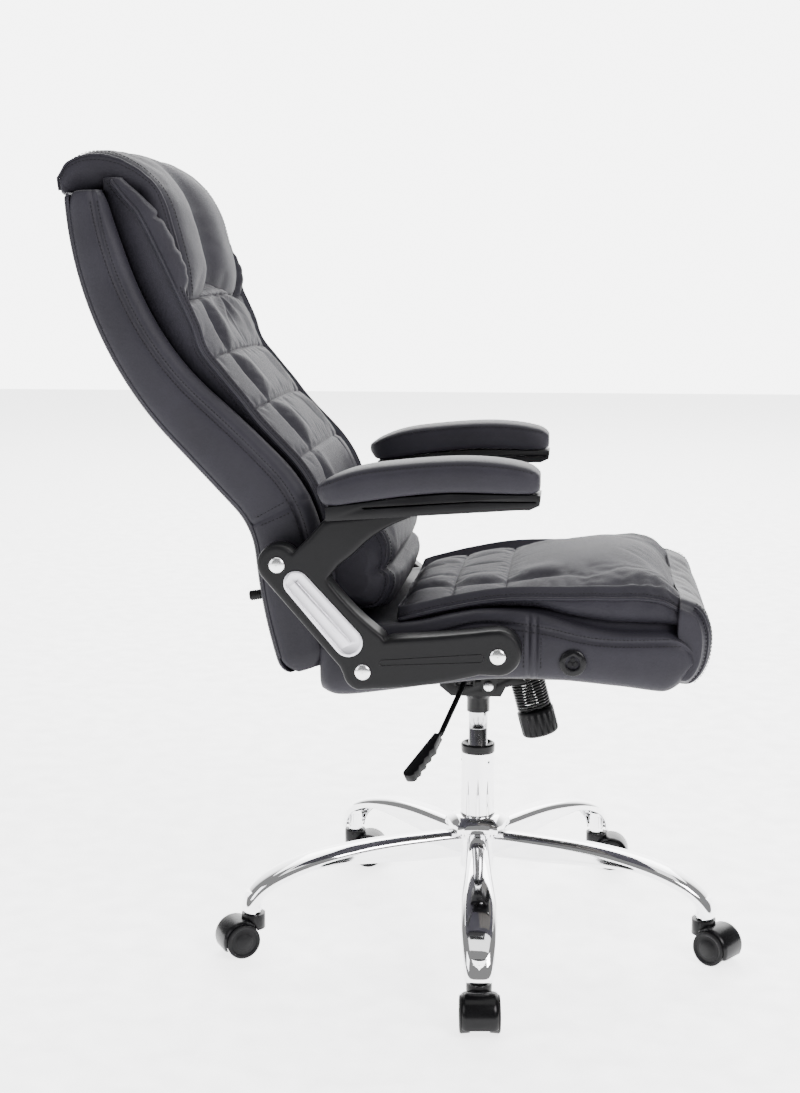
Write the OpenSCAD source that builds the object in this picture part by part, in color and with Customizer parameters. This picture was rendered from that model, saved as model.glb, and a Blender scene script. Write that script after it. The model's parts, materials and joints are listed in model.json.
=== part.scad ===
// High-backed office chair: quilted leather seat and back, padded arms, gas lift, tilt mechanism
// and a five-legged chrome base on twin-wheel casters. Millimetres, +X is the way the chair faces,
// +Z is up, and the origin is where the column's axis meets the floor.

/* [Base] */
// Radius of the circle of caster stems
base_r = 345; // [320:1:380]
// Direction of the first leg, from straight ahead
leg_turn = -86; // [-90:1:90]
// Height of the leg's top edge at the hub
leg_top_z = 153; // [145:1:156]
// Depth of a leg beside the hub
leg_root_h = 36; // [30:1:40]
// Depth of a leg over its outer half
leg_h = 14; // [11:1:18]
// Width of a leg beside the hub
leg_root_w = 28; // [24:1:34]
// Width of a leg where it is widest
leg_w = 45; // [38:1:50]
// Width of a leg at its tip
leg_tip_w = 34; // [30:1:38]
// Sheet thickness of a leg
leg_wall = 2.4; // [1.8:0.1:3]
// Diameter of the hub
hub_d = 68; // [62:1:74]
// Height of the hub's lower end
hub_z = 117; // [112:1:120]
// Distance across the hub's five-sided collar, from its centre to a corner
collar_r = 52; // [46:1:56]
// Height of the hub's five-sided collar
collar_h = 21; // [16:1:26]
// Diameter of the socket under a leg's tip
socket_d = 22; // [19:1:24]

/* [Casters] */
// Diameter of a caster wheel
wheel_d = 50; // [46:1:54]
// Width of a caster wheel
wheel_w = 14.6; // [12:0.1:17]
// Width of the hood's web between the wheels
web_w = 24.4; // [21:0.1:28]
// Side clearance between a wheel and the web
wheel_gap = 0.4; // [0.3:0.1:1]
// Distance from the stem's axis to the axle
trail = 24; // [20:1:28]
// Height of the plane on which the base sits on its stems
stem_z = 60; // [58:0.5:64]
// Diameter of a caster stem
stem_d = 11; // [9:0.5:12]
// Length of a stem in its socket
stem_l = 22; // [18:1:26]
// Diameter of a caster's axle
axle_d = 6; // [5:0.5:8]
// Thickness of the hood's shell over the wheels
hood_wall = 3; // [2:0.1:4]
// Clearance between the hood's shell and the wheels
hood_gap = 1.2; // [0.8:0.1:2]

/* [Column] */
// Diameter of the chrome column
column_d = 50; // [48:1:54]
// Height of the column's lower end
column_z = 98; // [92:1:100]
// Height of the column's upper end
column_top_z = 276; // [260:1:284]
// Wall of the chrome column
column_wall = 2; // [1.5:0.1:3]
// Height of the black collar above the column
bush_h = 13; // [8:1:16]
// Length of the bush inside the column
bush_l = 50; // [40:1:60]
// Diameter of the gas cylinder
gas_d = 28; // [26:0.5:30]
// Height of the gas cylinder's lower end
gas_z = 150; // [150:1:156]
// Height of the gas cylinder's upper end
gas_top_z = 382; // [372:1:390]
// Diameter of the piston rod
rod_d = 10; // [8:0.5:12]
// Diameter of the release pin
pin_d = 8; // [6:0.5:9]
// Height of the release pin above the gas cylinder
pin_h = 8.7; // [8:0.1:10]

/* [Mechanism] */
// Distance of the tilt pivot in front of the column
pivot_x = 18; // [16:0.5:20]
// Diameter of the tilt pivot bolt
pivot_d = 10; // [8:0.5:12]
// Height of the seat plate's underside above the tilt pivot
ear_h = 46; // [44:0.5:50]
// Depth of the housing's floor under the gas cylinder's upper end
floor_drop = 10; // [9:0.5:12]
// Width of the housing
housing_w = 100; // [96:1:104]
// Sheet thickness of the housing
housing_t = 3; // [2.5:0.1:3.5]
// Diameter of the cone that takes the gas cylinder
cone_d = 34; // [33:1:38]
// Length of the cone below the housing's floor
cone_l = 34; // [30:1:38]
// Sheet thickness of the seat plate
plate_t = 4; // [3:0.5:5]
// Width of the seat plate
plate_w = 178; // [170:1:190]
// Spacing of the seat bolts from front to back
bolt_gap_x = 160; // [140:1:165]
// Spacing of the seat bolts from side to side
bolt_gap_y = 150; // [130:1:156]
// Diameter of a seat bolt
seat_bolt_d = 6; // [5:0.5:8]
// Lean of the tension bolt from the vertical, its foot to the front
tension_lean = 15; // [13:0.5:17]
// Distance of the knob's top in front of the column
tension_x = 84; // [82:0.5:88]
// Diameter of the tension bolt
tension_d = 8; // [6:0.5:9]
// Outer diameter of the tension spring
spring_d = 52; // [46:1:54]
// Wire diameter of the tension spring
spring_wire = 3; // [2.6:0.1:3.4]
// Height of the tension spring
spring_h = 51; // [48:0.5:54]
// Turns of the tension spring
spring_turns = 11; // [9:1:12]
// Diameter of the tension knob
knob_d = 55; // [54:1:58]
// Height of the tension knob
knob_h = 40; // [34:1:42]
// Diameter of a flute in the knob's rim
flute_d = 5; // [3:0.5:6]
// Number of flutes on the knob
flutes = 18; // [12:1:22]

/* [Lever] */
// Distance of the lever behind the column
lever_x = 17; // [16:0.5:18]
// Diameter of the lever's rod
lever_d = 8; // [7:0.5:9]
// Diameter of the barrel that carries the lever
barrel_d = 17; // [16:0.5:18]
// Length of the barrel
barrel_l = 24; // [20:1:26]
// Length of the lever's grip
grip_l = 84; // [74:1:94]
// Width of the lever's grip
grip_w = 20; // [17:1:24]

/* [Seat] */
// Full width of the seat cushion
seat_w = 490; // [474:1:492]
// Front end of the seat cushion
seat_front_x = 285; // [282:1:292]
// Rear end of the seat cushion
seat_rear_x = -204; // [-206:1:-198]
// Thickness of the plywood seat board
board_t = 12; // [10:0.5:12]
// Width of the seat board
board_w = 424; // [410:1:428]
// Height of the side rails above the board
rail_h = 50; // [48:1:52]
// Thickness of a side rail
rail_t = 22; // [18:1:25]
// Distance between the seams across the seat pad
quilt_x = 74; // [70:1:78]
// Distance of the seat pad's lengthwise seams from its middle
quilt_y = 125; // [115:1:132]
// Depth of a sewn channel
channel = 7; // [4:0.5:9]
// How far the front roll stands out of the seat
front_roll_l = 48; // [40:1:55]
// Diameter of the round inlet's flange
inlet_d = 36; // [32:1:40]
// Diameter of the round inlet's opening
inlet_bore_d = 20; // [16:0.5:22]
// Depth of the round inlet's opening
inlet_l = 14; // [10:0.5:16]
// Distance of the inlet in front of the column
inlet_x = 140; // [130:1:150]
// Height of the inlet above the seat board's underside
inlet_h = 32; // [28:1:36]

/* [Back] */
// Full width of the back cushion
back_w = 470; // [456:1:480]
// Length of the back along its rear face
back_l = 720; // [710:1:730]
// Length of the stretch at the foot of the back
foot_l = 140; // [134:1:146]
// Length of the bend above the foot
bend_l = 68; // [62:1:76]
// Length of the straight stretch above the bend
mid_l = 123; // [116:1:130]
// Lean of the back's foot
foot_lean = 17; // [15:0.5:19]
// Lean of the back just below the bend
low_lean = 6; // [5:0.5:7]
// Lean of the straight stretch
mid_lean = 43.5; // [42:0.5:45]
// Lean of the back's top
top_lean = 1.5; // [0:0.5:4]
// Thickness of the rear cover
cover_t = 10; // [8:0.5:11]
// Thickness of the back's plywood panel
panel_t = 12; // [9:0.5:14]
// Depth of the timber stiles at the arms
stile_t = 34; // [32:1:38]
// Distance between the seams across the back pad
row_l = 90; // [88:1:92]
// Distance of the back pad's upright seams from its middle
column_y = 115; // [108:1:122]
// Distance of the quilted back pad's edge from the back's edge
pad_inset = 29; // [25:1:33]
// Distance of the head pillow's ends from the back's edge
pillow_inset = 37; // [33:1:45]
// Distance of the lumbar roll's ends from the back's edge
lumbar_inset = 30; // [25:1:45]

/* [Arms] */
// Front bolt of the arm, forward of the column
front_bolt_x = 42; // [38:1:46]
// Height of the arm's front bolt above the seat board's underside
front_bolt_h = 47; // [45:0.5:50]
// Rear bolt of the arm, forward of the column
rear_bolt_x = -137; // [-141:1:-133]
// Height of the arm's rear bolt above the seat board's underside
rear_bolt_h = 22; // [21:0.5:25]
// Upper bolt of the arm, forward of the column
back_bolt_x = -251; // [-254:1:-248]
// Height of the arm's upper bolt above the seat board's underside
back_bolt_h = 164; // [160:1:168]
// Clearance between an arm and the upholstery beside it
arm_gap = 2; // [2:0.5:5]
// Thickness of the arm frame
arm_t = 39; // [36:1:42]
// Rounding of the arm frame's edges
arm_edge = 3; // [2:0.5:3.5]
// Diameter of an arm bolt
arm_bolt_d = 8; // [6:0.5:9]
// Diameter of a bolt cap
cap_d = 22; // [20:0.5:24]
// Length of the arm pad
pad_l = 290; // [280:1:300]
// Width of the arm pad
pad_w = 74; // [66:1:80]
// Crown of the arm pad over its rear end
pad_rise = 62; // [58:1:66]

/* [Hidden] */
$fn = 64;

// Radial clearance of a fixed fit, radial clearance of a running fit, and the gap between neighbours
snug = 0.03;
run = 0.05;
gap = 0.3;

legs = 5;
leg_angles = [for (i = [0:legs - 1]) leg_turn + 360 / legs * i];
caster_headings = [-84, -37, -2, 0, -149];
hood_r = wheel_d / 2 + hood_gap + hood_wall;
hood_w = web_w + 2 * wheel_w;
wheel_y = web_w / 2 + wheel_gap;
axle_l = web_w + 2 * wheel_w - 7;
boss_z = stem_z - 1.5 - gap;

flange_z = leg_top_z + 5;
hub_top_z = flange_z + collar_h;
column_floor = 4;
bearing_z = column_z + column_floor + gap;
bearing_h = 5.5;
bush_top_z = column_top_z + bush_h;
gas_taper_z = gas_top_z - floor_drop - cone_l;
gas_tip_r = gas_d / 2 - 0.6;
gas_bore_r = gas_d / 2 - 2.5;
head_z = column_top_z - 36;
pin_hole_z = gas_top_z - 30;

floor_z = gas_top_z - floor_drop;
pivot_z = gas_top_z + pivot_d / 2 + 1;
plate_z = pivot_z + ear_h;
seat_z = plate_z + plate_t;
wall_top_z = pivot_z + 16;
ear_y = housing_w / 2 + 0.4;
ear_t = 3;
plate_back_x = pivot_x - 98;
plate_front_x = pivot_x + 104;
bolt_mid_x = 20;
tension_foot = [tension_x, 0, floor_z - 28];
lip_t = 4;
lip_h = spring_h + gap / 2;
lip_mid = tension_foot + lip_h * [-sin(tension_lean), 0, cos(tension_lean)];
spring_back_x = lip_mid[0] - spring_d / 2 - 2;
function lip_z(x) = lip_mid[2] + (x - lip_mid[0]) * tan(tension_lean);

pin_top_z = gas_top_z + pin_h;
finger_z = pin_top_z + gap + lever_d / 2;
lever_z = finger_z + 2;
lever_y = housing_w / 2;
barrel_pin_d = 6;
lever_grip_top = [-42, -168, lever_z - 50];
lever_grip_way = [-33, -54, -40];

rail_y = board_w / 2 - rail_t;
board_front_x = seat_front_x - 17;
board_back_x = seat_rear_x + 19;
pad_edge = seat_w / 2 - 23;
pad_front_x = seat_front_x - 3;

back_foot = [-265, 17];
back_top_l = back_l - foot_l - 15 - bend_l - mid_l;
back_runs = [
    [foot_l, foot_lean, low_lean],
    [15, low_lean, low_lean],
    [bend_l, low_lean, mid_lean],
    [mid_l, mid_lean, mid_lean],
    [back_top_l, mid_lean, top_lean]];
frame_n = cover_t + gap;
frame_from = 45;
frame_to = 645;
frame_half = back_w / 2 - 8;
back_pad_w = back_w - 2 * pad_inset;
pillow_w = back_w - 2 * pillow_inset;
lumbar_w = back_w - 2 * lumbar_inset;
tuck_l = 40;
stile_w = 28;
first_row = 262;
row_depth = 110;

bolt_a = [front_bolt_x, front_bolt_h];
bolt_b = [rear_bolt_x, rear_bolt_h];
bolt_c = [back_bolt_x, back_bolt_h];
arm_y = max(seat_w, back_w) / 2 + arm_gap;
arm_out_y = arm_y + arm_t;
pad_y = arm_y + 36;
pad_top = 146;

function mix(a, b, t) = a + (b - a) * t;
function polar(r, a) = [r * cos(a), r * sin(a)];
function arc(c, r, a0, a1, n = 8) = [for (i = [0:n]) c + polar(r, mix(a0, a1, i / n))];
function last(list) = list[len(list) - 1];

// Points from p to q on a shallow arc that stands out by sag to the left of the way from p to q
function bow(p, q, sag, n = 5) =
    let (side = [p[1] - q[1], q[0] - p[0]] / norm(q - p))
    [for (i = [0:n]) mix(p, q, i / n) + 4 * sag * (i / n) * (1 - i / n) * side];

// A half outline with first value 0 or more, completed by its mirror image in reverse order
function both_sides(half) = concat(half,
    [for (i = [len(half) - 1:-1:0]) if (half[i][0] > 0) [-half[i][0], half[i][1]]]);

// Closed skin through rings of equally many points, which run anticlockwise seen from the last ring
module loft(rings) {
    n = len(rings[0]);
    m = len(rings);
    polyhedron(
        points = [for (ring = rings) each ring],
        faces = concat(
            [[for (j = [0:n - 1]) j]],
            [for (i = [0:m - 2]) for (j = [0:n - 1]) each [
                [i * n + j, (i + 1) * n + j, (i + 1) * n + (j + 1) % n],
                [i * n + j, (i + 1) * n + (j + 1) % n, i * n + (j + 1) % n]]],
            [[for (j = [n - 1:-1:0]) (m - 1) * n + j]]));
}

module ring(od, id, h) {
    difference() {
        cylinder(d = od, h = h);
        translate([0, 0, -1]) cylinder(d = id, h = h + 2);
    }
}

// Puts a shape drawn upright at the origin along the way from p in a direction
module along(p, way) {
    translate(p)
        rotate([0, acos(way[2] / norm(way)), atan2(way[1], way[0])])
            children();
}

module rod_between(p, q, d) {
    along(p, q - p) cylinder(d = d, h = norm(q - p));
}

// Places a shape at each of the four bolts that hold the seat
module at_seat_bolts() {
    for (x = [-1, 1]) for (y = [-1, 1])
        translate([bolt_mid_x + x * bolt_gap_x / 2, y * bolt_gap_y / 2, 0]) children();
}

// Height of the upper part of the chair, whose drawings measure from the seat board's underside
module upper() {
    translate([0, 0, seat_z]) children();
}

// Base

function leg_line(t) = let (rise = leg_top_z - stem_z + 10)
    [60 + (base_r - 45) * pow(sin(t), 0.8), stem_z - 10 + rise * pow(cos(t), 0.8)];
function leg_depth(r) =
    leg_h + (leg_root_h - leg_h) * (1 - pow(min(1, max(0, (r - 38) / (base_r - 133))), 2.2));
function leg_width(r) = lookup(r, [[hub_d / 2, leg_root_w], [base_r - 165, mix(leg_root_w, leg_w, 0.45)],
    [base_r - 90, leg_w], [base_r - 37, leg_w], [base_r - 10, mix(leg_w, leg_tip_w, 0.6)],
    [base_r + 14, leg_tip_w]]);

// Ring of a leg's section at a point of its top line with the way's slope, drawn in by a wall
function leg_ring(p, slope, r, wall) =
    let (w = leg_width(r) / 2 - wall, h = leg_depth(r) + wall, crown = min(9, h * 0.6),
         half = concat([[w, h]],
             [for (a = [0, 40, 68, 90]) [w * pow(cos(a), 0.6), wall + crown * (1 - sin(a))]]))
    [for (q = both_sides(half)) [p[0] + q[1] * sin(slope), q[0], p[1] - q[1] * cos(slope)]];

module leg_form(turns, wall) {
    loft(concat(
        [leg_ring([hub_d / 2 - 6 - wall, leg_top_z + 0.5], 0, hub_d / 2, wall)],
        [for (t = turns) let (way = leg_line(t + 0.5) - leg_line(t - 0.5))
            leg_ring(leg_line(t), atan2(way[1], way[0]), leg_line(t)[0], wall)]));
}

module leg() {
    turns = [2, 8, 16, 26, 36, 46, 56, 64, 71, 77, 82, 86];
    difference() {
        leg_form(turns, 0);
        leg_form(concat(turns, [87.5]), leg_wall);
    }
    translate([base_r, 0, stem_z]) {
        cylinder(d = socket_d, h = stem_l + 10);
        for (a = [0:45:315]) rotate([0, 0, a])
            translate([socket_d / 2 - 0.6, 0, 0]) cylinder(d = 3, h = stem_l + 4);
    }
}

module base_star() color("silver") difference() {
    union() {
        for (a = leg_angles) rotate([0, 0, a]) leg();
        translate([0, 0, hub_z]) cylinder(d = hub_d, h = flange_z - hub_z + 1);
        rotate([0, 0, leg_turn + 36]) intersection() {
            translate([0, 0, flange_z]) cylinder(r = collar_r, h = collar_h, $fn = 5);
            union() {
                translate([0, 0, flange_z]) cylinder(d = 2 * collar_r - 8, h = collar_h - 8);
                translate([0, 0, hub_top_z - 8]) cylinder(d1 = 2 * collar_r - 8, d2 = column_d + 12, h = 8);
            }
        }
    }
    translate([0, 0, hub_z - 1]) cylinder(d = column_d + 2 * snug, h = collar_h + 100);
    for (a = leg_angles) rotate([0, 0, a]) {
        translate([base_r, 0, stem_z - 1]) cylinder(d = stem_d + 2 * snug, h = stem_l + 1.5);
        for (side = [-1, 1]) rotate([0, 0, 27 * side])
            translate([hub_d / 2 - 3, -1.1, hub_z + 4]) cube([6, 2.2, flange_z - hub_z - 6]);
    }
}

module caster_stems() color("silver") for (a = leg_angles) rotate([0, 0, a]) translate([base_r, 0, 0]) {
    translate([0, 0, stem_z]) cylinder(d = stem_d, h = stem_l);
    translate([0, 0, stem_z - 1.5]) cylinder(d = stem_d + 7, h = 1.5);
    translate([0, 0, stem_z - 22]) cylinder(d = stem_d - 1, h = 22);
}

// Casters

// Places a caster's own frame: its stem's axis at the origin and its axle ahead on +X
module at_caster(i) {
    rotate([0, 0, leg_angles[i]]) translate([base_r, 0, 0])
        rotate([0, 0, caster_headings[i] - leg_angles[i]]) children();
}

// Puts a solid of revolution round the caster's axle
module on_axle() {
    translate([trail, 0, wheel_d / 2]) rotate([90, 0, 0]) children();
}

module caster_hood() color("#1b1b1d") difference() {
    union() {
        on_axle() translate([0, 0, -web_w / 2]) cylinder(r = wheel_d / 2 - 3, h = web_w);
        on_axle() intersection() {
            rotate_extrude() polygon(concat(
                [[0, -hood_w / 2]],
                arc([hood_r - 10, 10 - hood_w / 2], 10, -90, 0, 6),
                arc([hood_r - 10, hood_w / 2 - 10], 10, 0, 90, 6),
                [[0, hood_w / 2]]));
            linear_extrude(2 * hood_w, center = true)
                polygon(concat([[0, 0]], arc([0, 0], 2 * hood_r, -25, 130, 6)));
        }
        translate([0, 0, stem_z - 24]) cylinder(d = web_w + 10, h = boss_z - stem_z + 24);
    }
    for (side = [-1, 1]) on_axle() translate([0, 0, side * (web_w / 2 + hood_w / 2)])
        cylinder(r = hood_r - hood_wall, h = hood_w, center = true);
    on_axle() cylinder(d = axle_d + 2 * snug, h = hood_w, center = true);
    translate([0, 0, stem_z - 22 - gap]) cylinder(d = stem_d - 1 + 2 * run, h = 40);
    translate([-50, -50, 0]) cube([100, 100, 10.5]);
}

module caster_axle() color("gray") on_axle() cylinder(d = axle_d, h = axle_l, center = true);

// Wheel on the side towards which +Z points once it is on the axle
module caster_wheel() color("#161617") rotate_extrude() difference() {
    r = wheel_d / 2;
    polygon(concat(
        [[0, 0], [r - 4, 0], [r - 1, 0.6]],
        arc([r - 2.5, wheel_w - 2.8], 2.5, 0, 90, 5),
        [[r - 5, wheel_w - 0.5], [r - 6, wheel_w - 1.8], [r - 12, wheel_w - 1], [r - 13, wheel_w],
         [0, wheel_w + 0.6]]));
    translate([-1, -1]) square([axle_d / 2 + run + 1, (axle_l - web_w) / 2 + 1]);
    translate([r - 14, -1]) square([8, 3.5]);
}

module caster(i, part) {
    at_caster(i) {
        if (part == "hood") caster_hood();
        if (part == "axle") caster_axle();
        if (part == "wheel_l") on_axle() mirror([0, 0, 1]) translate([0, 0, wheel_y]) caster_wheel();
        if (part == "wheel_r") on_axle() translate([0, 0, wheel_y]) caster_wheel();
    }
}

// Column

module gas_column() color("silver") difference() {
    translate([0, 0, column_z]) cylinder(d = column_d, h = column_top_z - column_z);
    translate([0, 0, column_z + column_floor])
        cylinder(d = column_d - 2 * column_wall, h = column_top_z);
    translate([0, 0, column_z - 1]) cylinder(d = rod_d + 2 * snug, h = column_floor + 2);
    for (a = leg_angles) for (turn = [0, 36]) rotate([0, 0, a + turn])
        translate([column_d / 2 + 0.4, 0, hub_top_z - 2]) cylinder(d = 2.6, h = 36);
    for (a = [-46, 74, 194]) rotate([0, 0, a]) translate([column_d / 2, 0, column_top_z - 13])
        rotate([0, 90, 0]) cylinder(d = 4, h = 2.4, center = true);
}

module column_bush() color("#18181a") rotate_extrude() {
    r = gas_d / 2 + run;
    rim = column_d / 2;
    polygon(concat(
        [[r, column_top_z - bush_l], [rim - column_wall - snug, column_top_z - bush_l],
         [rim - column_wall - snug, column_top_z], [rim, column_top_z]],
        arc([rim - 2.5, bush_top_z - 3], 3, 0, 90, 5),
        [[rim - 4, bush_top_z - 1], [r + 1, bush_top_z - 5], [r, bush_top_z - 5]]));
}

module thrust_bearing() color("gray") translate([0, 0, bearing_z]) {
    difference() {
        union() {
            ring(24, rod_d + 2 * run, 1.4);
            translate([0, 0, bearing_h - 1.4]) ring(24, rod_d + 2 * run, 1.4);
            ring(22, 13, bearing_h);
        }
        translate([0, 0, bearing_h / 2]) rotate_extrude() translate([12, 0]) circle(r = 1.2);
    }
}

module piston_rod() color("gainsboro") {
    translate([0, 0, column_z - 2]) cylinder(d = rod_d, h = head_z - column_z + 2);
    translate([0, 0, head_z]) cylinder(r = gas_bore_r - run, h = 12);
    translate([0, 0, column_z - 2]) cylinder(d = rod_d + 8, h = 2 - snug);
}

module gas_cylinder() color("gainsboro") difference() {
    union() {
        translate([0, 0, gas_z]) cylinder(d = gas_d, h = gas_taper_z - gas_z);
        translate([0, 0, gas_taper_z])
            cylinder(r1 = gas_d / 2, r2 = gas_tip_r, h = gas_top_z - gas_taper_z);
    }
    translate([0, 0, gas_z - 1]) cylinder(d = rod_d + 2 * run, h = 20);
    translate([0, 0, gas_z + 12]) cylinder(r = gas_bore_r, h = pin_hole_z - gas_z - 22);
    translate([0, 0, pin_hole_z]) cylinder(d = pin_d + 2 * run, h = 40);
    translate([0, 0, gas_taper_z - 26]) rotate_extrude() translate([gas_d / 2, 0]) circle(r = 0.5);
}

module release_pin() color("gray") translate([0, 0, pin_hole_z + 10]) {
    cylinder(d = pin_d, h = pin_top_z - pin_hole_z - 11);
    translate([0, 0, pin_top_z - pin_hole_z - 11]) cylinder(d1 = pin_d, d2 = pin_d - 3, h = 1);
}

// Mechanism

// Frame of the tension bolt: the knob's top at the origin and the seat on +Z
module on_tension() {
    translate(tension_foot) rotate([0, -tension_lean, 0]) children();
}

module mechanism_housing() color("#1d1d1f") {
    half = housing_w / 2;
    rear_x = -54;
    front_x = pivot_x + 54;
    difference() {
        union() {
            translate([0, half, 0]) rotate([90, 0, 0]) linear_extrude(housing_w) polygon([
                [rear_x, wall_top_z], [rear_x, floor_z + 14], [-37, floor_z], [spring_back_x - 7, floor_z],
                [spring_back_x, lip_z(spring_back_x)], [front_x, lip_z(front_x)],
                [front_x, wall_top_z - 8], [front_x - 12, wall_top_z]]);
            on_tension() translate([-28, -32, lip_h]) cube([60, 64, lip_t]);
            translate([0, 0, floor_z - cone_l]) cylinder(d = cone_d, h = cone_l + 4);
            translate([0, 0, floor_z - 14]) cylinder(d1 = cone_d, d2 = cone_d + 26, h = 15);
            for (side = [-1, 1]) translate([side * (barrel_l / 2 + 1.8) - lever_x, -lever_y - 9, lever_z - 8])
                translate([-1.5, 0, 0]) cube([3, 12, 16]);
        }
        difference() {
            translate([0, half - housing_t, 0]) rotate([90, 0, 0]) linear_extrude(housing_w - 2 * housing_t)
                polygon([
                    [rear_x + housing_t, wall_top_z + 20], [rear_x + housing_t, floor_z + 15],
                    [-36, floor_z + housing_t], [spring_back_x - 8, floor_z + housing_t],
                    [spring_back_x - 1, lip_z(spring_back_x) + housing_t],
                    [front_x - housing_t, lip_z(front_x) + housing_t],
                    [front_x - housing_t, wall_top_z + 20]]);
            on_tension() translate([-28, -32, lip_h]) cube([60, 64, lip_t]);
            translate([0, 0, floor_z]) cylinder(d = cone_d, h = 9);
        }
        translate([0, 0, gas_taper_z - 1]) cylinder(r = gas_d / 2 + snug, h = 1);
        translate([0, 0, gas_taper_z])
            cylinder(r1 = gas_d / 2 + snug, r2 = gas_tip_r + snug, h = gas_top_z - gas_taper_z);
        translate([pivot_x, 0, pivot_z]) rotate([90, 0, 0])
            cylinder(d = pivot_d + 2 * snug, h = housing_w + 20, center = true);
        on_tension() translate([-6, -tension_d / 2 - 2, 20]) cube([21, tension_d + 4, 60]);
        translate([-lever_x - barrel_l / 2 - gap, -half - 1, lever_z - barrel_d / 2 - 2])
            cube([barrel_l + 2 * gap, housing_t + 2, 60]);
        translate([-lever_x, -lever_y, lever_z]) rotate([0, 90, 0])
            cylinder(d = barrel_pin_d + 2 * run, h = 60, center = true);
    }
}

module seat_plate() color("#1d1d1f") difference() {
    union() {
        translate([plate_back_x, -plate_w / 2, plate_z])
            cube([plate_front_x - plate_back_x, plate_w, plate_t]);
        for (y = [-ear_y - ear_t, ear_y]) translate([pivot_x, y + ear_t, 0]) rotate([90, 0, 0])
            linear_extrude(ear_t) polygon(concat(
                [[22, plate_z + 1], [-14, plate_z + 1]], arc([0, pivot_z], 11, 180, 360, 16)));
        for (y = [-plate_w / 2, plate_w / 2 - 3]) translate([plate_back_x, y, plate_z - 5])
            cube([plate_front_x - plate_back_x, 3, 6]);
    }
    translate([pivot_x, 0, pivot_z]) rotate([90, 0, 0])
        cylinder(d = pivot_d + 2 * run, h = plate_w, center = true);
    at_seat_bolts() translate([0, 0, plate_z - 1]) cylinder(d = seat_bolt_d + 2 * snug, h = plate_t + 2);
}

module tilt_pivot_bolt() color("silver") translate([pivot_x, 0, pivot_z]) rotate([90, 0, 0]) {
    reach = ear_y + ear_t + gap;
    cylinder(d = pivot_d, h = 2 * reach, center = true);
    for (side = [-1, 1]) rotate([90 - 90 * side, 0, 0]) translate([0, 0, reach]) {
        cylinder(d = pivot_d + 4, h = 2.5);
        translate([0, 0, 2.5]) cylinder(d1 = pivot_d + 4, d2 = pivot_d, h = 1.5);
    }
}

module tension_bolt() color("gray") difference() {
    on_tension() translate([0, 0, 10 - knob_h]) cylinder(d = tension_d, h = 200);
    translate([-100, -50, plate_z - 0.02]) cube([300, 100, 300]);
}

// The spring is one unbroken tube of eight rings to a turn
spring_rings = 8;
spring_sides = 6;
spring_path_r = (spring_d - spring_wire) / 2;
spring_steps = spring_turns * spring_rings;
spring_rise = spring_h - spring_wire - 2 * gap;
function spring_point(i) =
    let (a = 360 * i / spring_rings)
    [spring_path_r * cos(a), spring_path_r * sin(a), gap + spring_wire / 2 + spring_rise * i / spring_steps];
function spring_ring(i) =
    let (a = 360 * i / spring_rings)
    [for (j = [0:spring_sides - 1]) let (b = 360 * j / spring_sides)
        spring_point(i) + spring_wire / 2 * [cos(b) * cos(a), cos(b) * sin(a), sin(b)]];
spring_gap = min([for (i = [0:spring_steps - spring_rings]) for (j = [0:spring_sides - 1])
    for (k = [0:spring_sides - 1]) norm(spring_ring(i)[j] - spring_ring(i + spring_rings)[k])]);
echo(least_gap_between_spring_turns = spring_gap);

module tension_spring() color("#141415") on_tension() rotate([0, 0, 90])
    loft([for (i = [spring_steps:-1:0]) spring_ring(i)]);

module tension_knob() color("#1b1b1d") on_tension() difference() {
    rotate_extrude() difference() {
        polygon(concat([[0, -knob_h]], arc([knob_d / 2 - 6, 6 - knob_h], 6, -90, 0, 5),
            [[knob_d / 2, -2], [knob_d / 2 - 2, 0], [0, 0]]));
        translate([-1, 8 - knob_h]) square([1 + tension_d / 2 + run, knob_h]);
    }
    for (i = [0:flutes - 1]) rotate([0, 0, 360 * i / flutes])
        translate([knob_d / 2 + flute_d / 4, 0, 4 - knob_h]) cylinder(d = flute_d, h = knob_h - 12);
}

// Lever

module lever_barrel() color("#1b1b1d") difference() {
    translate([-lever_x, -lever_y, lever_z]) rotate([0, 90, 0]) {
        cylinder(d = barrel_d, h = barrel_l, center = true);
        cylinder(d = barrel_pin_d, h = barrel_l + 6.4, center = true);
    }
    translate([-lever_x, -lever_y, lever_z]) rotate([90, 0, 0])
        cylinder(d = lever_d + 2 * run, h = 40, center = true);
}

module lever_rod() color("#1b1b1d") {
    inner = [-lever_x, 12, lever_z];
    bend = [-lever_x, -lever_y - 13, lever_z];
    knee = [-lever_x - 5, -95, lever_z - 11];
    grip_end = lever_grip_top + 22 * lever_grip_way / norm(lever_grip_way);
    rod_between(inner, bend, lever_d);
    translate(bend) sphere(d = lever_d + 0.1);
    rod_between(bend, knee, lever_d);
    translate(knee) sphere(d = lever_d + 0.1);
    rod_between(knee, lever_grip_top, lever_d);
    translate(lever_grip_top) sphere(d = lever_d + 0.1);
    rod_between(lever_grip_top, grip_end, lever_d - 0.6);
    translate([-lever_x, 0, finger_z]) rotate([0, 90, 0]) cylinder(d = lever_d, h = lever_x + 4);
}

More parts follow.
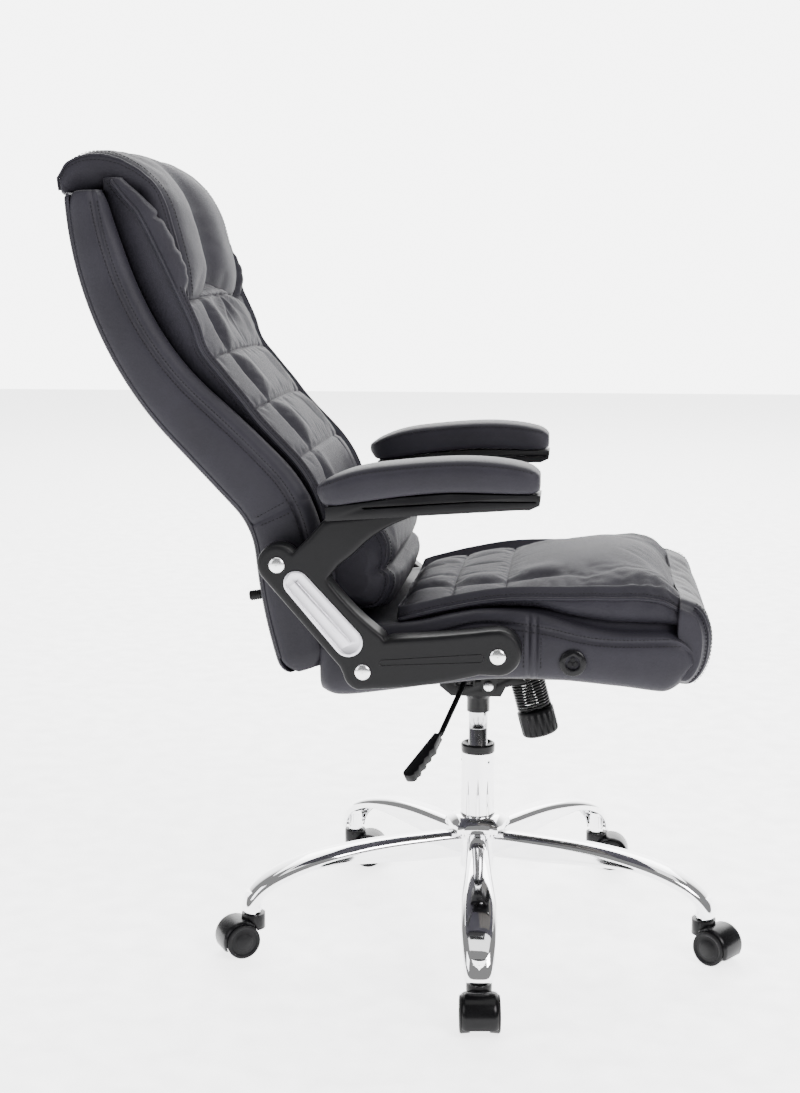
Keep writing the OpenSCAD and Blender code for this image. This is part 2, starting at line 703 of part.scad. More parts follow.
module lever_grip() color("#202022") {
    half = grip_w / 2;
    waves = 4;
    notches = [for (i = [0:16]) let (t = i / 16)
        [half - 1.2 - 1.6 * sin(90 - 360 * waves * t), mix(20, grip_l - 8, t)]];
    difference() {
        along(lever_grip_top, lever_grip_way) translate([-6, 0, 6]) rotate([90, 0, 90])
            linear_extrude(12) polygon(concat(
                [[-half + 5, 0], [half - 6, 0]], notches,
                arc([half - 8, grip_l - 8], 7, 0, 90, 4), arc([8 - half, grip_l - 8], 8, 90, 180, 4)));
        along(lever_grip_top, lever_grip_way) cylinder(d = lever_d - 0.6 + 2 * snug, h = 22 + snug);
        along(lever_grip_top, lever_grip_way) cylinder(d = lever_d + 1.2, h = 7);
    }
}

// Seat: outlines over x, in heights above the seat board's underside

function seat_low(x) = lookup(x,
    [[-204, -18], [-178, -26], [-119, -20], [-37, -7], [50, 5], [200, 5], [285, 0]]);
function seat_seam(x) = lookup(x,
    [[-200, 47], [-112, 53], [-51, 64], [16, 81], [89, 76], [176, 60], [285, 62]]);
function seat_crest(x) = lookup(x,
    [[-204, 66], [-119, 76], [-65, 83], [-24, 93], [16, 100], [56, 100], [96, 96], [149, 82], [200, 74],
     [285, 74]]);
function seat_core(x) = lookup(x,
    [[-204, 62], [-119, 72], [-65, 79], [-24, 89], [16, 96], [60, 98], [255, 98], [285, 92]]);
function pad_edge_z(x) = lookup(x,
    [[-107, 78], [-84, 84], [-25, 99], [42, 111], [122, 114], [254, 114], [282, 100]]);
function pad_crown(x) = lookup(x,
    [[-96, 90], [-84, 103], [-50, 113], [0, 121], [50, 129], [90, 139], [120, 147], [160, 154], [190, 157],
     [227, 154], [246, 147], [263, 134], [276, 114], [282, 106]]);
function pad_height(x, y) =
    let (edge = pad_edge_z(x)) edge + (pad_crown(x) - edge) * (1 - pow(abs(y) / pad_edge, 2.6));
function quilt_at(x) = quilt_y + lookup(x, [[-63, -17], [-25, 0], [51, 16], [107, 20], [141, 34]]);
seat_seams = [46 - quilt_x, 46];

// Ring across the seat, from half an outline of side distances and heights
function across(x, half) = [for (p = both_sides(half)) [x, p[0], p[1]]];

function seat_cushion_ring(x) =
    let (w = seat_w / 2 - lookup(x, [[74, 0], [86, 2.5], [98, 0]])
             - lookup(x, [[seat_rear_x, 6], [seat_rear_x + 14, 0]]),
         low = seat_low(x), seam = seat_seam(x), crest = seat_crest(x))
    across(x, [[w - 33, low], [w - 8, low + 6], [w, mix(low, seam, 0.5)], [w - 0.5, seam - 7],
        [w - 4.5, seam], [w - 1, seam + 6], [w - 8, crest - 3], [w - 18, crest], [w - 33, crest - 4],
        [w - 46, seat_core(x)]]);

// Form of the board and rails, grown by a clearance and deepened downwards
module seat_frame_form(grow = 0, deep = 0) {
    translate([board_back_x - grow, -board_w / 2 - grow, -deep])
        cube([board_front_x - board_back_x + 2 * grow, board_w + 2 * grow, board_t + grow + deep]);
    for (y = [-board_w / 2, rail_y]) translate([board_back_x + 20 - grow, y - grow, board_t - 1])
        cube([240 + 2 * grow, rail_t + 2 * grow, rail_h + 1 + grow]);
}

// The holes that the six arm bolts pass through, on both sides
module arm_bolt_holes(d) {
    for (p = [bolt_a, bolt_b, bolt_c]) translate([p[0], 0, p[1]]) rotate([90, 0, 0])
        cylinder(d = d, h = 700, center = true);
}

module seat_frame() color("burlywood") upper() difference() {
    seat_frame_form();
    arm_bolt_holes(arm_bolt_d + 2 * snug);
    at_seat_bolts() translate([0, 0, -1]) cylinder(d = seat_bolt_d + 2 * snug, h = board_t + 2);
}

module seat_bolts() color("gray") at_seat_bolts() {
    translate([0, 0, plate_z - 4]) cylinder(d = 1.8 * seat_bolt_d, h = 4, $fn = 6);
    translate([0, 0, plate_z - 1]) cylinder(d = seat_bolt_d, h = plate_t + board_t);
}

module seat_cushion() color("#26262c") upper() difference() {
    loft([for (x = [seat_rear_x, seat_rear_x + 14, -150, -96, -60, -28, 9, 46, 76, 86, 96, 125, 160, 195,
        230, 271, seat_front_x]) seat_cushion_ring(x)]);
    seat_frame_form(gap, 60);
    arm_bolt_holes(arm_bolt_d + 1);
    translate([inlet_x, 0, inlet_h]) rotate([90, 0, 0]) translate([0, 0, seat_w / 2 - inlet_l - 6])
        cylinder(d = inlet_bore_d + 6 + 2 * gap, h = 60);
}

function seat_pad_ring(x) =
    let (q = quilt_at(x), edge = pad_edge_z(x), low = seat_core(x) + gap + 0.2,
         sewn = len([for (s = seat_seams) if (abs(x - s) < 0.1) 1]) > 0 ? channel : 0,
         along = channel * lookup(x, [[110, 1], [160, 0]]), side = pad_edge - 17)
    across(x, [[pad_edge - 26, low], [pad_edge - 9, mix(low, edge, 0.6)], [pad_edge, edge],
        [pad_edge - 3, edge + 4], [side, max(edge + 5, pad_height(x, side) - sewn)],
        [(side + q) / 2, pad_height(x, (side + q) / 2) - sewn],
        [q + 9, pad_height(x, q + 9) - sewn], [q, pad_height(x, q) - max(sewn, along)],
        [q - 9, pad_height(x, q - 9) - sewn], [q / 2, pad_height(x, q / 2) - sewn],
        [0, pad_height(x, 0) - sewn]]);

module seat_pad() color("#2a2a30") upper()
    loft([for (x = concat([-96, -84, -60], [for (s = seat_seams) each [s - 9, s, s + 9, s + 37]],
        [110, 128, 160, 195, 230, 255, 270, pad_front_x])) seat_pad_ring(x)]);

// Front roll: outline at the middle and at the ends, mixed across the seat
module seat_front_roll() color("#26262c") upper() {
    back = seat_front_x + gap;
    middle = [[0, 2], [15, 5], [0.8 * front_roll_l, 24], [front_roll_l, 52], [0.86 * front_roll_l, 82],
        [18, 104], [0, 110]];
    ends = [[0, 8], [10, 17], [22, 38], [25, 58], [17, 80], [9, 96], [0, 104]];
    loft([for (t = [1, 0.94, 0.82, 0.6, 0.3, 0, -0.3, -0.6, -0.82, -0.94, -1])
        [for (i = [0:6]) let (p = mix(middle[i], ends[i], pow(abs(t), 3)), less = abs(t) == 1 ? 0.12 : 0)
            [back + p[0] - less * middle[i][0], t * (seat_w / 2 - 4), p[1]]]]);
}

module side_inlet() color("#151516") upper() translate([inlet_x, -seat_w / 2, inlet_h]) rotate([90, 0, 0])
    difference() {
        union() {
            translate([0, 0, gap]) cylinder(d = inlet_d, h = 2);
            translate([0, 0, gap + 2]) cylinder(d1 = inlet_d, d2 = inlet_d - 5, h = 1.5);
            translate([0, 0, -inlet_l - 2]) cylinder(d = inlet_bore_d + 6, h = inlet_l + 4);
        }
        translate([0, 0, gap + 3.5 - inlet_l]) cylinder(d = inlet_bore_d, h = inlet_l + 1);
    }

// Back: places along its rear face are s upwards from the foot, n forwards and square to the face

function run_pose(p, r, s) =
    let (bend = (r[2] - r[1]) / r[0], lean = r[1] + bend * s)
    bend == 0 ? [p[0] - s * sin(lean), p[1] + s * cos(lean), lean] :
    [p[0] + (cos(lean) - cos(r[1])) / bend * 180 / PI,
     p[1] + (sin(lean) - sin(r[1])) / bend * 180 / PI, lean];
function back_pose(s, i = 0, p = back_foot) =
    s <= back_runs[i][0] || i == len(back_runs) - 1 ? run_pose(p, back_runs[i], s) :
    back_pose(s - back_runs[i][0], i + 1, run_pose(p, back_runs[i], back_runs[i][0]));
function back_point(s, n, y) = let (p = back_pose(s)) [p[0] + n * cos(p[2]), y, p[1] + n * sin(p[2])];

// Length along the pad's face up to s, and the s at which that length is f
function face_length(s) = s + row_depth * (back_pose(s)[2] - foot_lean) * PI / 180;
function at_face(f, low = 0, high = back_l, steps = 16) =
    let (middle = (low + high) / 2)
    steps == 0 ? middle :
    face_length(middle) < f ? at_face(f, middle, high, steps - 1) : at_face(f, low, middle, steps - 1);
rows = [for (k = [0:3]) at_face(first_row + row_l * k)];
row_edges = [for (k = [0:3]) each [rows[k] - 9, rows[k] + 9]];
function sorted(list) = len(list) < 2 ? list :
    let (pivot = list[floor(len(list) / 2)])
    concat(sorted([for (v = list) if (v < pivot) v]), [pivot], sorted([for (v = list) if (v > pivot) v]));
spine = sorted(concat([0, frame_from, 78, 110, foot_l, foot_l + 22, foot_l + 46], rows,
    [for (k = [0:2]) (rows[k] + rows[k + 1]) / 2], [528, 556, 580, 612, frame_to, 680, 700]));

function side_seam(s) = lookup(s, [[0, 72], [250, 75], [450, 62], [715, 45]]);
function roll_front(s) = lookup(s, [[0, 98], [250, 97], [430, 84], [620, 72], [715, 58]]);
function pad_back(s) = roll_front(s) - 12;
function back_edge(s) = lookup(s,
    [[78, 98], [110, 102], [169, 101], [204, 104], [285, 104], [328, 108], [376, 110], [423, 110], [465, 118],
     [515, 120], [575, 117], [633, 108], [679, 95], [700, 82], [735, 60]]);
function back_crown(s) = lookup(s,
    [[78, 101], [110, 106], [170, 106], [214, 122], [300, 126], [403, 130], [510, 132]]);
function back_ridge(s) = lookup(s, [[510, 127], [556, 138], [603, 137], [674, 120], [700, 104], [735, 74]]);

// Ring across the back, from half an outline of side distances and distances from the rear face
function round_back(s, half) = [for (p = both_sides(half)) back_point(s, p[1], p[0])];

// Skin through rings that were listed upwards
module back_loft(rings) {
    loft([for (i = [len(rings) - 1:-1:0]) rings[i]]);
}

// How far a stile stands in front of the panel: deep at the arms and shallow above them
function stile_at(s) = lookup(s, [[330, stile_t], [380, 4]]);

module back_frame() color("burlywood") upper() difference() {
    front = frame_n + panel_t;
    back_loft([for (s = spine) if (s >= frame_from && s <= frame_to) round_back(s,
        [[frame_half, frame_n], [frame_half, front + stile_at(s)],
         [frame_half - stile_w, front + stile_at(s)], [frame_half - stile_w, front]])]);
    arm_bolt_holes(arm_bolt_d + 2 * snug);
}

module back_cover() color("#202025") upper() {
    w = back_w / 2;
    back_loft([for (s = concat([for (s = spine) if (s > 0) s], [back_l - 8])) round_back(s,
        [[w - 14, 0], [w - 7, 3], [w - 5, cover_t]])]);
}

// Ring of the back cushion, with a pocket for the frame, which is a mere crease beyond the frame's ends
function back_cushion_ring(s) =
    let (w = back_w / 2, seam = side_seam(s),
         deep = lookup(s,
             [[frame_from - 6, 0], [frame_from - gap, 1], [frame_to + gap, 1], [frame_to + 6, 0]]),
         flat = 6 * (1 - deep), wall = frame_half + gap, inner = wall - stile_w - 2 * gap,
         front = panel_t + gap, ridge = mix(gap, front + stile_at(s), deep),
         pocket = [[inner - flat, frame_n + deep * front], [inner, frame_n + ridge],
             [wall - flat, frame_n + ridge], [wall, frame_n]],
         tight = lookup(s, [[-22, 0.36], [-12, 0.76], [0, 1], [700, 1], [710, 0.92], [717, 0.7]]),
         half = concat(pocket, [[w - 5, frame_n + 2], [w, frame_n + 14], [w, seam - 6], [w - 4, seam],
             [w - 1, seam + 6], [w - 8, roll_front(s)], [w - 24, roll_front(s) - 1], [w - 34, pad_back(s)]]))
    round_back(s, [for (p = half) [p[0] - (1 - tight) * 8, mix(38, p[1], tight)]]);

module back_cushion() color("#26262c") upper() difference() {
    stations = sorted(concat([for (s = spine) if (s != frame_from && s != frame_to) s],
        [frame_from - 6, frame_from - gap, frame_to + gap, frame_to + 6]));
    back_loft([for (s = concat([-22, -12], stations, [710, 717])) back_cushion_ring(s)]);
    arm_bolt_holes(arm_bolt_d + 1);
    translate([seat_rear_x - gap, -seat_w, -100])
        cube([200, 2 * seat_w, 100 + seat_crest(seat_rear_x + tuck_l) + gap]);
}

function back_height(s, y) = let (edge = back_edge(s))
    edge + (max(edge + 3, back_crown(s)) - edge) * (1 - pow(abs(y) / (back_pad_w / 2), 2.6));

function back_pad_ring(s) =
    let (w = back_pad_w / 2, q = column_y, edge = back_edge(s), low = pad_back(s) + gap + 0.2,
         sewn = len([for (r = rows) if (abs(s - r) < 0.1) 1]) > 0 ? channel : 0,
         open = lookup(s, [[510, 0], [556, 1]]), floor_n = min(85, edge - 8), ridge = back_ridge(s),
         quilted = [[w - 16, back_height(s, w - 16) - sewn], [w - 48, back_height(s, w - 48) - sewn],
             [q + 8, back_height(s, q + 8) - sewn], [q, back_height(s, q) - max(channel, sewn)],
             [q - 8, back_height(s, q - 8) - sewn], [q / 2, back_height(s, q / 2) - sewn],
             [0, back_height(s, 0) - sewn]],
         hollow = [[w - 12, ridge], [w - 26, ridge - 4], [w - 38, floor_n + 8], [w - 46, floor_n],
             [w - 90, floor_n], [w - 150, floor_n], [0, floor_n]])
    round_back(s, concat([[w - 14, low], [w - 4, mix(low, edge, 0.6)], [w, edge], [w - 3, edge + 4]],
        [for (i = [0:6]) mix(quilted[i], hollow[i], open)]));

module back_pad() color("#2a2a30") upper() difference() {
    stations = sorted(concat([for (s = spine) if (s >= 78) s], row_edges, [84, 542, 717, 735]));
    back_loft([for (s = stations) back_pad_ring(s)]);
    translate(back_point(702, 0, 0)) rotate([0, -back_pose(702)[2], 0])
        translate([0, 38 - back_pad_w / 2, 0]) cube([150, back_pad_w - 76, 80]);
}

// Head pillow: its section's outer and inner edges in s and n, and its half width there
pillow_sections = [
    [[722, -12], [722, -3], 1], [[742, -13], [721, -2], 1], [[763, 2], [719, 4], 1],
    [[776, 24], [719, 16], 0.97],
    [[780, 50], [719, 34], 0.9], [[772, 78], [719, 52], 0.84], [[754, 104], [716, 68], 0.8],
    [[726, 126], [708, 86], 0.78],
    [[690, 142], [684, 88], 0.77], [[645, 150], [645, 88], 0.75], [[605, 151], [605, 90], 0.71],
    [[575, 144], [575, 92], 0.62], [[556, 128], [562, 98], 0.44]];

module head_pillow() color("#2a2a30") upper() back_loft([for (i = [len(pillow_sections) - 1:-1:0])
    let (c = pillow_sections[i], w = pillow_w / 2 * c[2],
         half = [[0.86 * w, 0.02], [0.97 * w, 0.22], [w, 0.5], [0.95 * w, 0.74], [0.82 * w, 0.9],
             [0.5 * w, 0.985], [0, 1]])
    [for (p = both_sides(half)) let (q = mix(c[1], c[0], p[1])) back_point(q[0], q[1], p[0])]]);

// Lumbar roll: two lobes in front of the back's foot, drawn in at the ends
module lumbar_roll() color("#2a2a30") upper() {
    face = [for (s = [84, 110, foot_l, foot_l + 22])
        let (p = back_point(s, back_crown(s) + gap, 0)) [p[0], p[2]]];
    outline = concat(
        [[face[0][0] + 2, 82.5], [-140, 80.5], [-119, 85], [-107, 99], [-99, 119], [-100, 136], [-112, 145],
         [-105, 158], [-103, 174], [-106, 192], [-117, 210], [-137, 222], [-160, 222],
         [last(face)[0] + 1, 208]],
        [for (i = [3:-1:0]) face[i]]);
    middle = [-178, 136];
    loft([for (t = [1, 0.96, 0.87, 0.7, 0.4, 0, -0.4, -0.7, -0.87, -0.96, -1])
        let (size = lookup(abs(t), [[0, 1], [0.7, 0.97], [0.87, 0.88], [0.96, 0.7], [1, 0.52]]))
        [for (i = [0:len(outline) - 1]) let (p = mix(middle, outline[i], size), floor_z = 80.5)
            [min(p[0], outline[i][0] > -170 ? 0 : p[0]), t * lumbar_w / 2, max(p[1], floor_z)]]]);
}

module rear_gland() color("#121213") upper() {
    p = back_pose(96);
    translate([p[0] - gap, 16 - frame_half, p[1]]) rotate([0, -90 - p[2], 0]) {
        cylinder(d = 12, h = 15);
        for (z = [0:3:12]) translate([0, 0, z]) cylinder(d = 14, h = 1.6);
    }
}

// Arms, drawn for the right side and mirrored for the left

module both_arms() {
    upper() children();
    mirror([0, 1, 0]) upper() children();
}

module arm_side(side) {
    mirror([0, side == "l" ? 1 : 0, 0]) upper() children();
}

// Point beside the way from the back bolt to the rear bolt: distance along it and distance to its front
function strut_point(along, out) =
    let (u = (bolt_b - bolt_c) / norm(bolt_b - bolt_c)) bolt_c + along * u + out * [-u[1], u[0]];

strut_l = norm(bolt_b - bolt_c);
arm_tip = 178;
arm_outline = concat(
    arc(bolt_c, 27, 38, 218, 12),
    [strut_point(strut_l - 24, -21)],
    arc(bolt_b - [2, 1], 25, 190, 262, 4),
    bow([bolt_b[0] + 12, bolt_b[1] - 24], [bolt_a[0] - 24, bolt_a[1] - 26.5], -4, 4),
    arc(bolt_a + [0, 4], 31, -86, 88, 10),
    bow([bolt_a[0] - 12, bolt_a[1] + 34], [bolt_b[0] + 36, bolt_b[1] + 46], 1.5, 2),
    [strut_point(strut_l - 15, 50)],
    bow(strut_point(strut_l - 22, 52), strut_point(56, 41), 4, 3),
    [for (p = [[82, 0], [102, 16], [120, 33], [139, 47], [159, 58], [arm_tip, 66], [arm_tip, pad_rise + 8.5],
        [70, pad_rise + 1], [60, 58], [41, 36]]) bolt_c + p]);

// Share of the edge's rounding at a point, which falls off along the thin end under the arm plate
function edge_share(p) =
    p[1] < bolt_c[1] + 45 ? 1 : lookup(p[0] - bolt_c[0], [[arm_tip - 66, 1], [arm_tip, 0.25]]);

// The outline drawn in by d, point by point
function drawn_in(points, d) =
    let (n = len(points))
    [for (i = [0:n - 1])
        let (a = points[(i + n - 1) % n], b = points[i], c = points[(i + 1) % n],
             u = (b - a) / norm(b - a), v = (c - b) / norm(c - b), turn = (u + v) / norm(u + v))
        b + d * edge_share(b) * [-turn[1], turn[0]]];

module plate_of(points, y0, y1, edge) {
    inner = drawn_in(points, edge);
    middle = drawn_in(points, edge * 0.3);
    steps = [[y1, inner], [y1 - edge * 0.3, middle], [y1 - edge, points], [y0 + edge, points],
        [y0 + edge * 0.3, middle], [y0, inner]];
    loft([for (s = [len(steps) - 1:-1:0]) [for (p = steps[s][1]) [p[0], -steps[s][0], p[1]]]]);
}

// Slot with ends of two radii round two points
function slot(p, q, rp, rq, n = 10) =
    let (a = atan2(q[1] - p[1], q[0] - p[0]))
    concat(arc(p, rp, a + 90, a + 270, n), arc(q, rq, a - 90, a + 90, n));

insert_top = strut_point(35, 5);
insert_foot = strut_point(strut_l - 43, 10);

module arm_frame(side) color("#1c1c1e") arm_side(side) difference() {
    union() {
        plate_of(arm_outline, arm_y, arm_out_y, arm_edge);
        translate([bolt_c[0], gap - arm_y - 1.5, bolt_c[1]]) rotate([-90, 0, 0])
            cylinder(d = 40, h = arm_y - back_w / 2 + 1);
    }
    arm_bolt_holes(arm_bolt_d + 2 * snug);
    for (p = [bolt_a, bolt_b, bolt_c]) translate([p[0], -arm_out_y - 1, p[1]]) rotate([-90, 0, 0])
        cylinder(d = 2 * arm_bolt_d, h = arm_bolt_d);
    translate([0, -arm_out_y - 1, 0]) rotate([90, 0, 0]) mirror([0, 0, 1]) linear_extrude(3.3)
        polygon(slot(insert_top, insert_foot, 17.3, 19.8));
    translate([0, -arm_out_y - 1, 0]) rotate([90, 0, 0]) mirror([0, 0, 1]) linear_extrude(2)
        polygon(slot(bolt_b + [26, 13], bolt_a - [24, 3], 1.4, 3));
}

module arm_insert(side) color("lightgray") arm_side(side)
    translate([0, 1.8 - arm_out_y, 0]) rotate([90, 0, 0]) difference() {
        linear_extrude(3.3) polygon(slot(insert_top, insert_foot, 17, 19.5));
        translate([0, 0, 2]) linear_extrude(3) difference() {
            polygon(slot(insert_top, insert_foot, 12.5, 15));
            polygon(slot(insert_top, insert_foot, 2.5, 3));
        }
    }

module arm_plate(side) color("#1c1c1e") arm_side(side) {
    rear = bolt_c + [70, pad_rise + 1 + gap];
    front = bolt_c + [321, 81 + gap];
    translate([0, 30 - pad_y, 0]) rotate([90, 0, 0]) linear_extrude(61) difference() {
        polygon([rear, front, front + [12, 0], front + [25, 6], front + [26, 19], front + [-91, 20],
            front + [-156, 14], front + [-208, 6], rear + [0, 18]]);
        polygon([front + [-200, -2], front + [-60, 9], front + [20, 10], front + [20, 11.6],
            front + [-60, 10.8], front + [-204, 0.4]]);
    }
}

function arm_pad_top(t) = lookup(t,
    [[0, -20], [0.06, -8], [0.19, 6], [0.37, 14], [0.64, 20], [0.82, 18], [0.95, 11], [0.99, 4], [1, 0]]);
function arm_pad_low(t) = lookup(t,
    [[0, -30], [0.04, -43], [0.19, -38], [0.37, -30], [0.6, -23.5], [0.97, -24], [1, -20]]);
function arm_pad_half(t) = lookup(t,
    [[0, 0.34], [0.02, 0.62], [0.06, 0.83], [0.12, 0.94], [0.25, 1], [0.9, 1], [0.96, 0.93], [0.99, 0.8],
     [1, 0.66]]);

module arm_pad(side) color("#26262c") arm_side(side) {
    x0 = bolt_c[0] + 56;
    z0 = bolt_c[1] + pad_rise + 63.8;
    loft([for (t = [0, 0.015, 0.05, 0.12, 0.22, 0.4, 0.6, 0.8, 0.9, 0.96, 0.99, 1])
        let (w = pad_w / 2 * arm_pad_half(t), top = z0 + arm_pad_top(t), low = z0 + arm_pad_low(t),
             half = [[0.8 * w, low], [w, low + 0.12 * (top - low)], [w, mix(low, top, 0.68)],
                 [0.97 * w, mix(low, top, 0.74)],
                 [0.95 * w, mix(low, top, 0.86)], [0.78 * w, mix(low, top, 0.97)], [0.35 * w, top + 1]])
        [for (p = both_sides(half)) [x0 + t * pad_l, p[0] - pad_y, p[1]]]]);
}

module arm_bolts() color("gray") both_arms() for (p = [bolt_a, bolt_b, bolt_c])
    translate([p[0], -arm_out_y + arm_bolt_d - 1, p[1]]) rotate([90, 0, 0]) {
        translate([0, 0, -80]) cylinder(d = arm_bolt_d, h = 81);
        cylinder(d = 1.7 * arm_bolt_d, h = 5, $fn = 6);
    }

module bolt_caps() color("silver") both_arms() for (p = [bolt_a, bolt_b, bolt_c])
    translate([p[0], -arm_out_y - 0.05, p[1]]) rotate([90, 0, 0]) rotate_extrude() polygon(concat(
        [[0, 0], [cap_d / 2 - 0.6, 0]], [for (a = [0:15:90]) [cap_d / 2 * cos(a), 0.6 + 4 * sin(a)]]));

base_star();
caster_stems();
gas_column();
column_bush();
thrust_bearing();
piston_rod();
gas_cylinder();
release_pin();
mechanism_housing();
seat_plate();
tilt_pivot_bolt();
tension_bolt();
tension_spring();
tension_knob();
lever_barrel();
lever_rod();
lever_grip();
seat_frame();
seat_bolts();
seat_cushion();
seat_pad();
seat_front_roll();
side_inlet();
back_frame();
back_cover();
back_cushion();
back_pad();
head_pillow();
lumbar_roll();
rear_gland();
arm_bolts();
bolt_caps();
for (side = ["r", "l"]) {
    arm_frame(side);
    arm_insert(side);
    arm_plate(side);
    arm_pad(side);
}
for (i = [0:4]) for (part = ["hood", "axle", "wheel_l", "wheel_r"])
    caster(i, part);
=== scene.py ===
"""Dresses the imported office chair: quilted leather, moulded arms, chrome base and a studio round it."""

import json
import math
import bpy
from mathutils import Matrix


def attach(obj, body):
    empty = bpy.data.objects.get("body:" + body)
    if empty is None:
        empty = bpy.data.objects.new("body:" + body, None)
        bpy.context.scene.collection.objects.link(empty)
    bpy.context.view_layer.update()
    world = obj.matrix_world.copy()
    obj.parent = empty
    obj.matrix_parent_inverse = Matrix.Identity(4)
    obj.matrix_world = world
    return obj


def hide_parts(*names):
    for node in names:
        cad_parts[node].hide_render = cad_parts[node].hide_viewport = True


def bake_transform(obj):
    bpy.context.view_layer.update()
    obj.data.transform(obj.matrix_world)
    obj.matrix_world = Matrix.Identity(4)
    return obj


bl_info = {
    "name": "Quilted office chair",
    "version": (1, 0, 0),
    "blender": (4, 5, 0),
    "location": "View3D > Sidebar > Chair",
    "description": "Upholsters and finishes a high-backed office chair round its packed CAD model",
    "category": "Object",
}

import bmesh
import bpy
from bpy.props import FloatProperty, FloatVectorProperty, IntProperty, PointerProperty
from mathutils import Matrix, Vector, noise

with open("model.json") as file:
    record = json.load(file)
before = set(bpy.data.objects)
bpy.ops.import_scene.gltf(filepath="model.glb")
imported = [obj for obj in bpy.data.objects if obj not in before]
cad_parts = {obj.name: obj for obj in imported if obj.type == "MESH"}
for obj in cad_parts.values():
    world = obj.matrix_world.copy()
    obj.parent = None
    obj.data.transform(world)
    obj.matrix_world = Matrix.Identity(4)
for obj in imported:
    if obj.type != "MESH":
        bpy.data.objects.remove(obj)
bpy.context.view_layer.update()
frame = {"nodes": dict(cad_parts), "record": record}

MM = 0.001
BOARD_Z = 438.0  # underside of the seat board, in millimetres, as are all the sizes below
LEG_ANGLES = [-86 + 72 * i for i in range(5)]
SEAT_FRONT = 285.0  # where the seat's boxing ends and its front roll begins
SEAT_HALF = 245.0  # half widths of the seat, of its pad, of the back and of the back's quilt
PAD_HALF = 222.0
BACK_HALF = 235.0
QUILT_HALF = 206.0
BACK_SEAM_Y = 115.0  # the back's lengthwise seams, from the middle
ROW_SEAMS = (-28.0, 46.0)  # the seat's cross seams


# Curves and tables

def mix(a, b, t):
    return a + (b - a) * t


def lookup(x, table):
    """Straight-line value at x of a table of (place, value)."""
    if x <= table[0][0]:
        return table[0][1]
    for (x0, v0), (x1, v1) in zip(table, table[1:]):
        if x <= x1:
            return mix(v0, v1, (x - x0) / (x1 - x0))
    return table[-1][1]


def flowing(x, table):
    """Value at x on a smooth curve through a table of (place, value)."""
    if x <= table[0][0]:
        return table[0][1]
    if x >= table[-1][0]:
        return table[-1][1]
    last = len(table) - 1
    i = next(k for k in range(last) if x <= table[k + 1][0])
    (x0, v0), (x1, v1) = table[i], table[i + 1]
    before, after = table[max(i - 1, 0)], table[min(i + 2, last)]
    h = x1 - x0
    m0 = (v1 - before[1]) / (x1 - before[0]) * h
    m1 = (after[1] - v0) / (after[0] - x0) * h
    t = (x - x0) / h
    return (v0 * (2 * t ** 3 - 3 * t * t + 1) + m0 * (t ** 3 - 2 * t * t + t)
            + v1 * (3 * t * t - 2 * t ** 3) + m1 * (t ** 3 - t * t))


def steps(low, high, size):
    count = max(1, round((high - low) / size))
    return [mix(low, high, i / count) for i in range(count + 1)]


def smooth_step(a, b, x):
    t = min(1.0, max(0.0, (x - a) / (b - a)))
    return t * t * (3 - 2 * t)


def dent(d, width):
    """1 on a seam, falling to 0 beside it."""
    return math.exp(-(d / width) ** 2)


def ripple(x, y, z, size):
    """Smooth noise from -1 to 1 with bumps of about size millimetres."""
    return noise.noise(Vector((x / size, y / size, z / size)))


def curve_through(points, count):
    """count + 1 points evenly spaced along a smooth curve through points of two or three values."""
    lengths = [0.0]
    for a, b in zip(points, points[1:]):
        lengths.append(lengths[-1] + (Vector(b) - Vector(a)).length)
    size = len(points[0])
    tables = [[(s, p[k]) for s, p in zip(lengths, points)] for k in range(size)]
    return [tuple(flowing(lengths[-1] * i / count, t) for t in tables) for i in range(count + 1)]


# The back's rear face: s runs up along it from the foot, n stands out forwards

BACK_FOOT = (-265.0, 17.0)
BACK_RUNS = ((140, 17, 6), (15, 6, 6), (68, 6, 43.5), (123, 43.5, 43.5), (374, 43.5, 1.5))


def back_pose(s):
    x, z = BACK_FOOT
    for i, (length, lean0, lean1) in enumerate(BACK_RUNS):
        run = s if i == len(BACK_RUNS) - 1 else min(s, length)
        bend = math.radians(lean1 - lean0) / length
        a0 = math.radians(lean0)
        a1 = a0 + bend * run
        if abs(bend) < 1e-9:
            x, z = x - run * math.sin(a0), z + run * math.cos(a0)
        else:
            x, z = x + (math.cos(a1) - math.cos(a0)) / bend, z + (math.sin(a1) - math.sin(a0)) / bend
        if s <= length or i == len(BACK_RUNS) - 1:
            return x, z, a1
        s -= length


def back_point(s, n, y):
    x, z, lean = back_pose(s)
    return Vector((x + n * math.cos(lean), y, BOARD_Z + z + n * math.sin(lean))) * MM


def upper_point(x, y, h):
    """Point at a height above the seat board's underside."""
    return Vector((x, y, BOARD_Z + h)) * MM


def face_rows():
    """Places of the back's cross seams, which lie evenly along its padded face."""
    rows = []
    for k in range(4):
        low, high = 0.0, 720.0
        for _ in range(24):
            middle = (low + high) / 2
            face = middle + 110 * (back_pose(middle)[2] - math.radians(17))
            low, high = (middle, high) if face < 262 + 90 * k else (low, middle)
        rows.append(low)
    return rows


BACK_ROWS = face_rows()


# Meshes

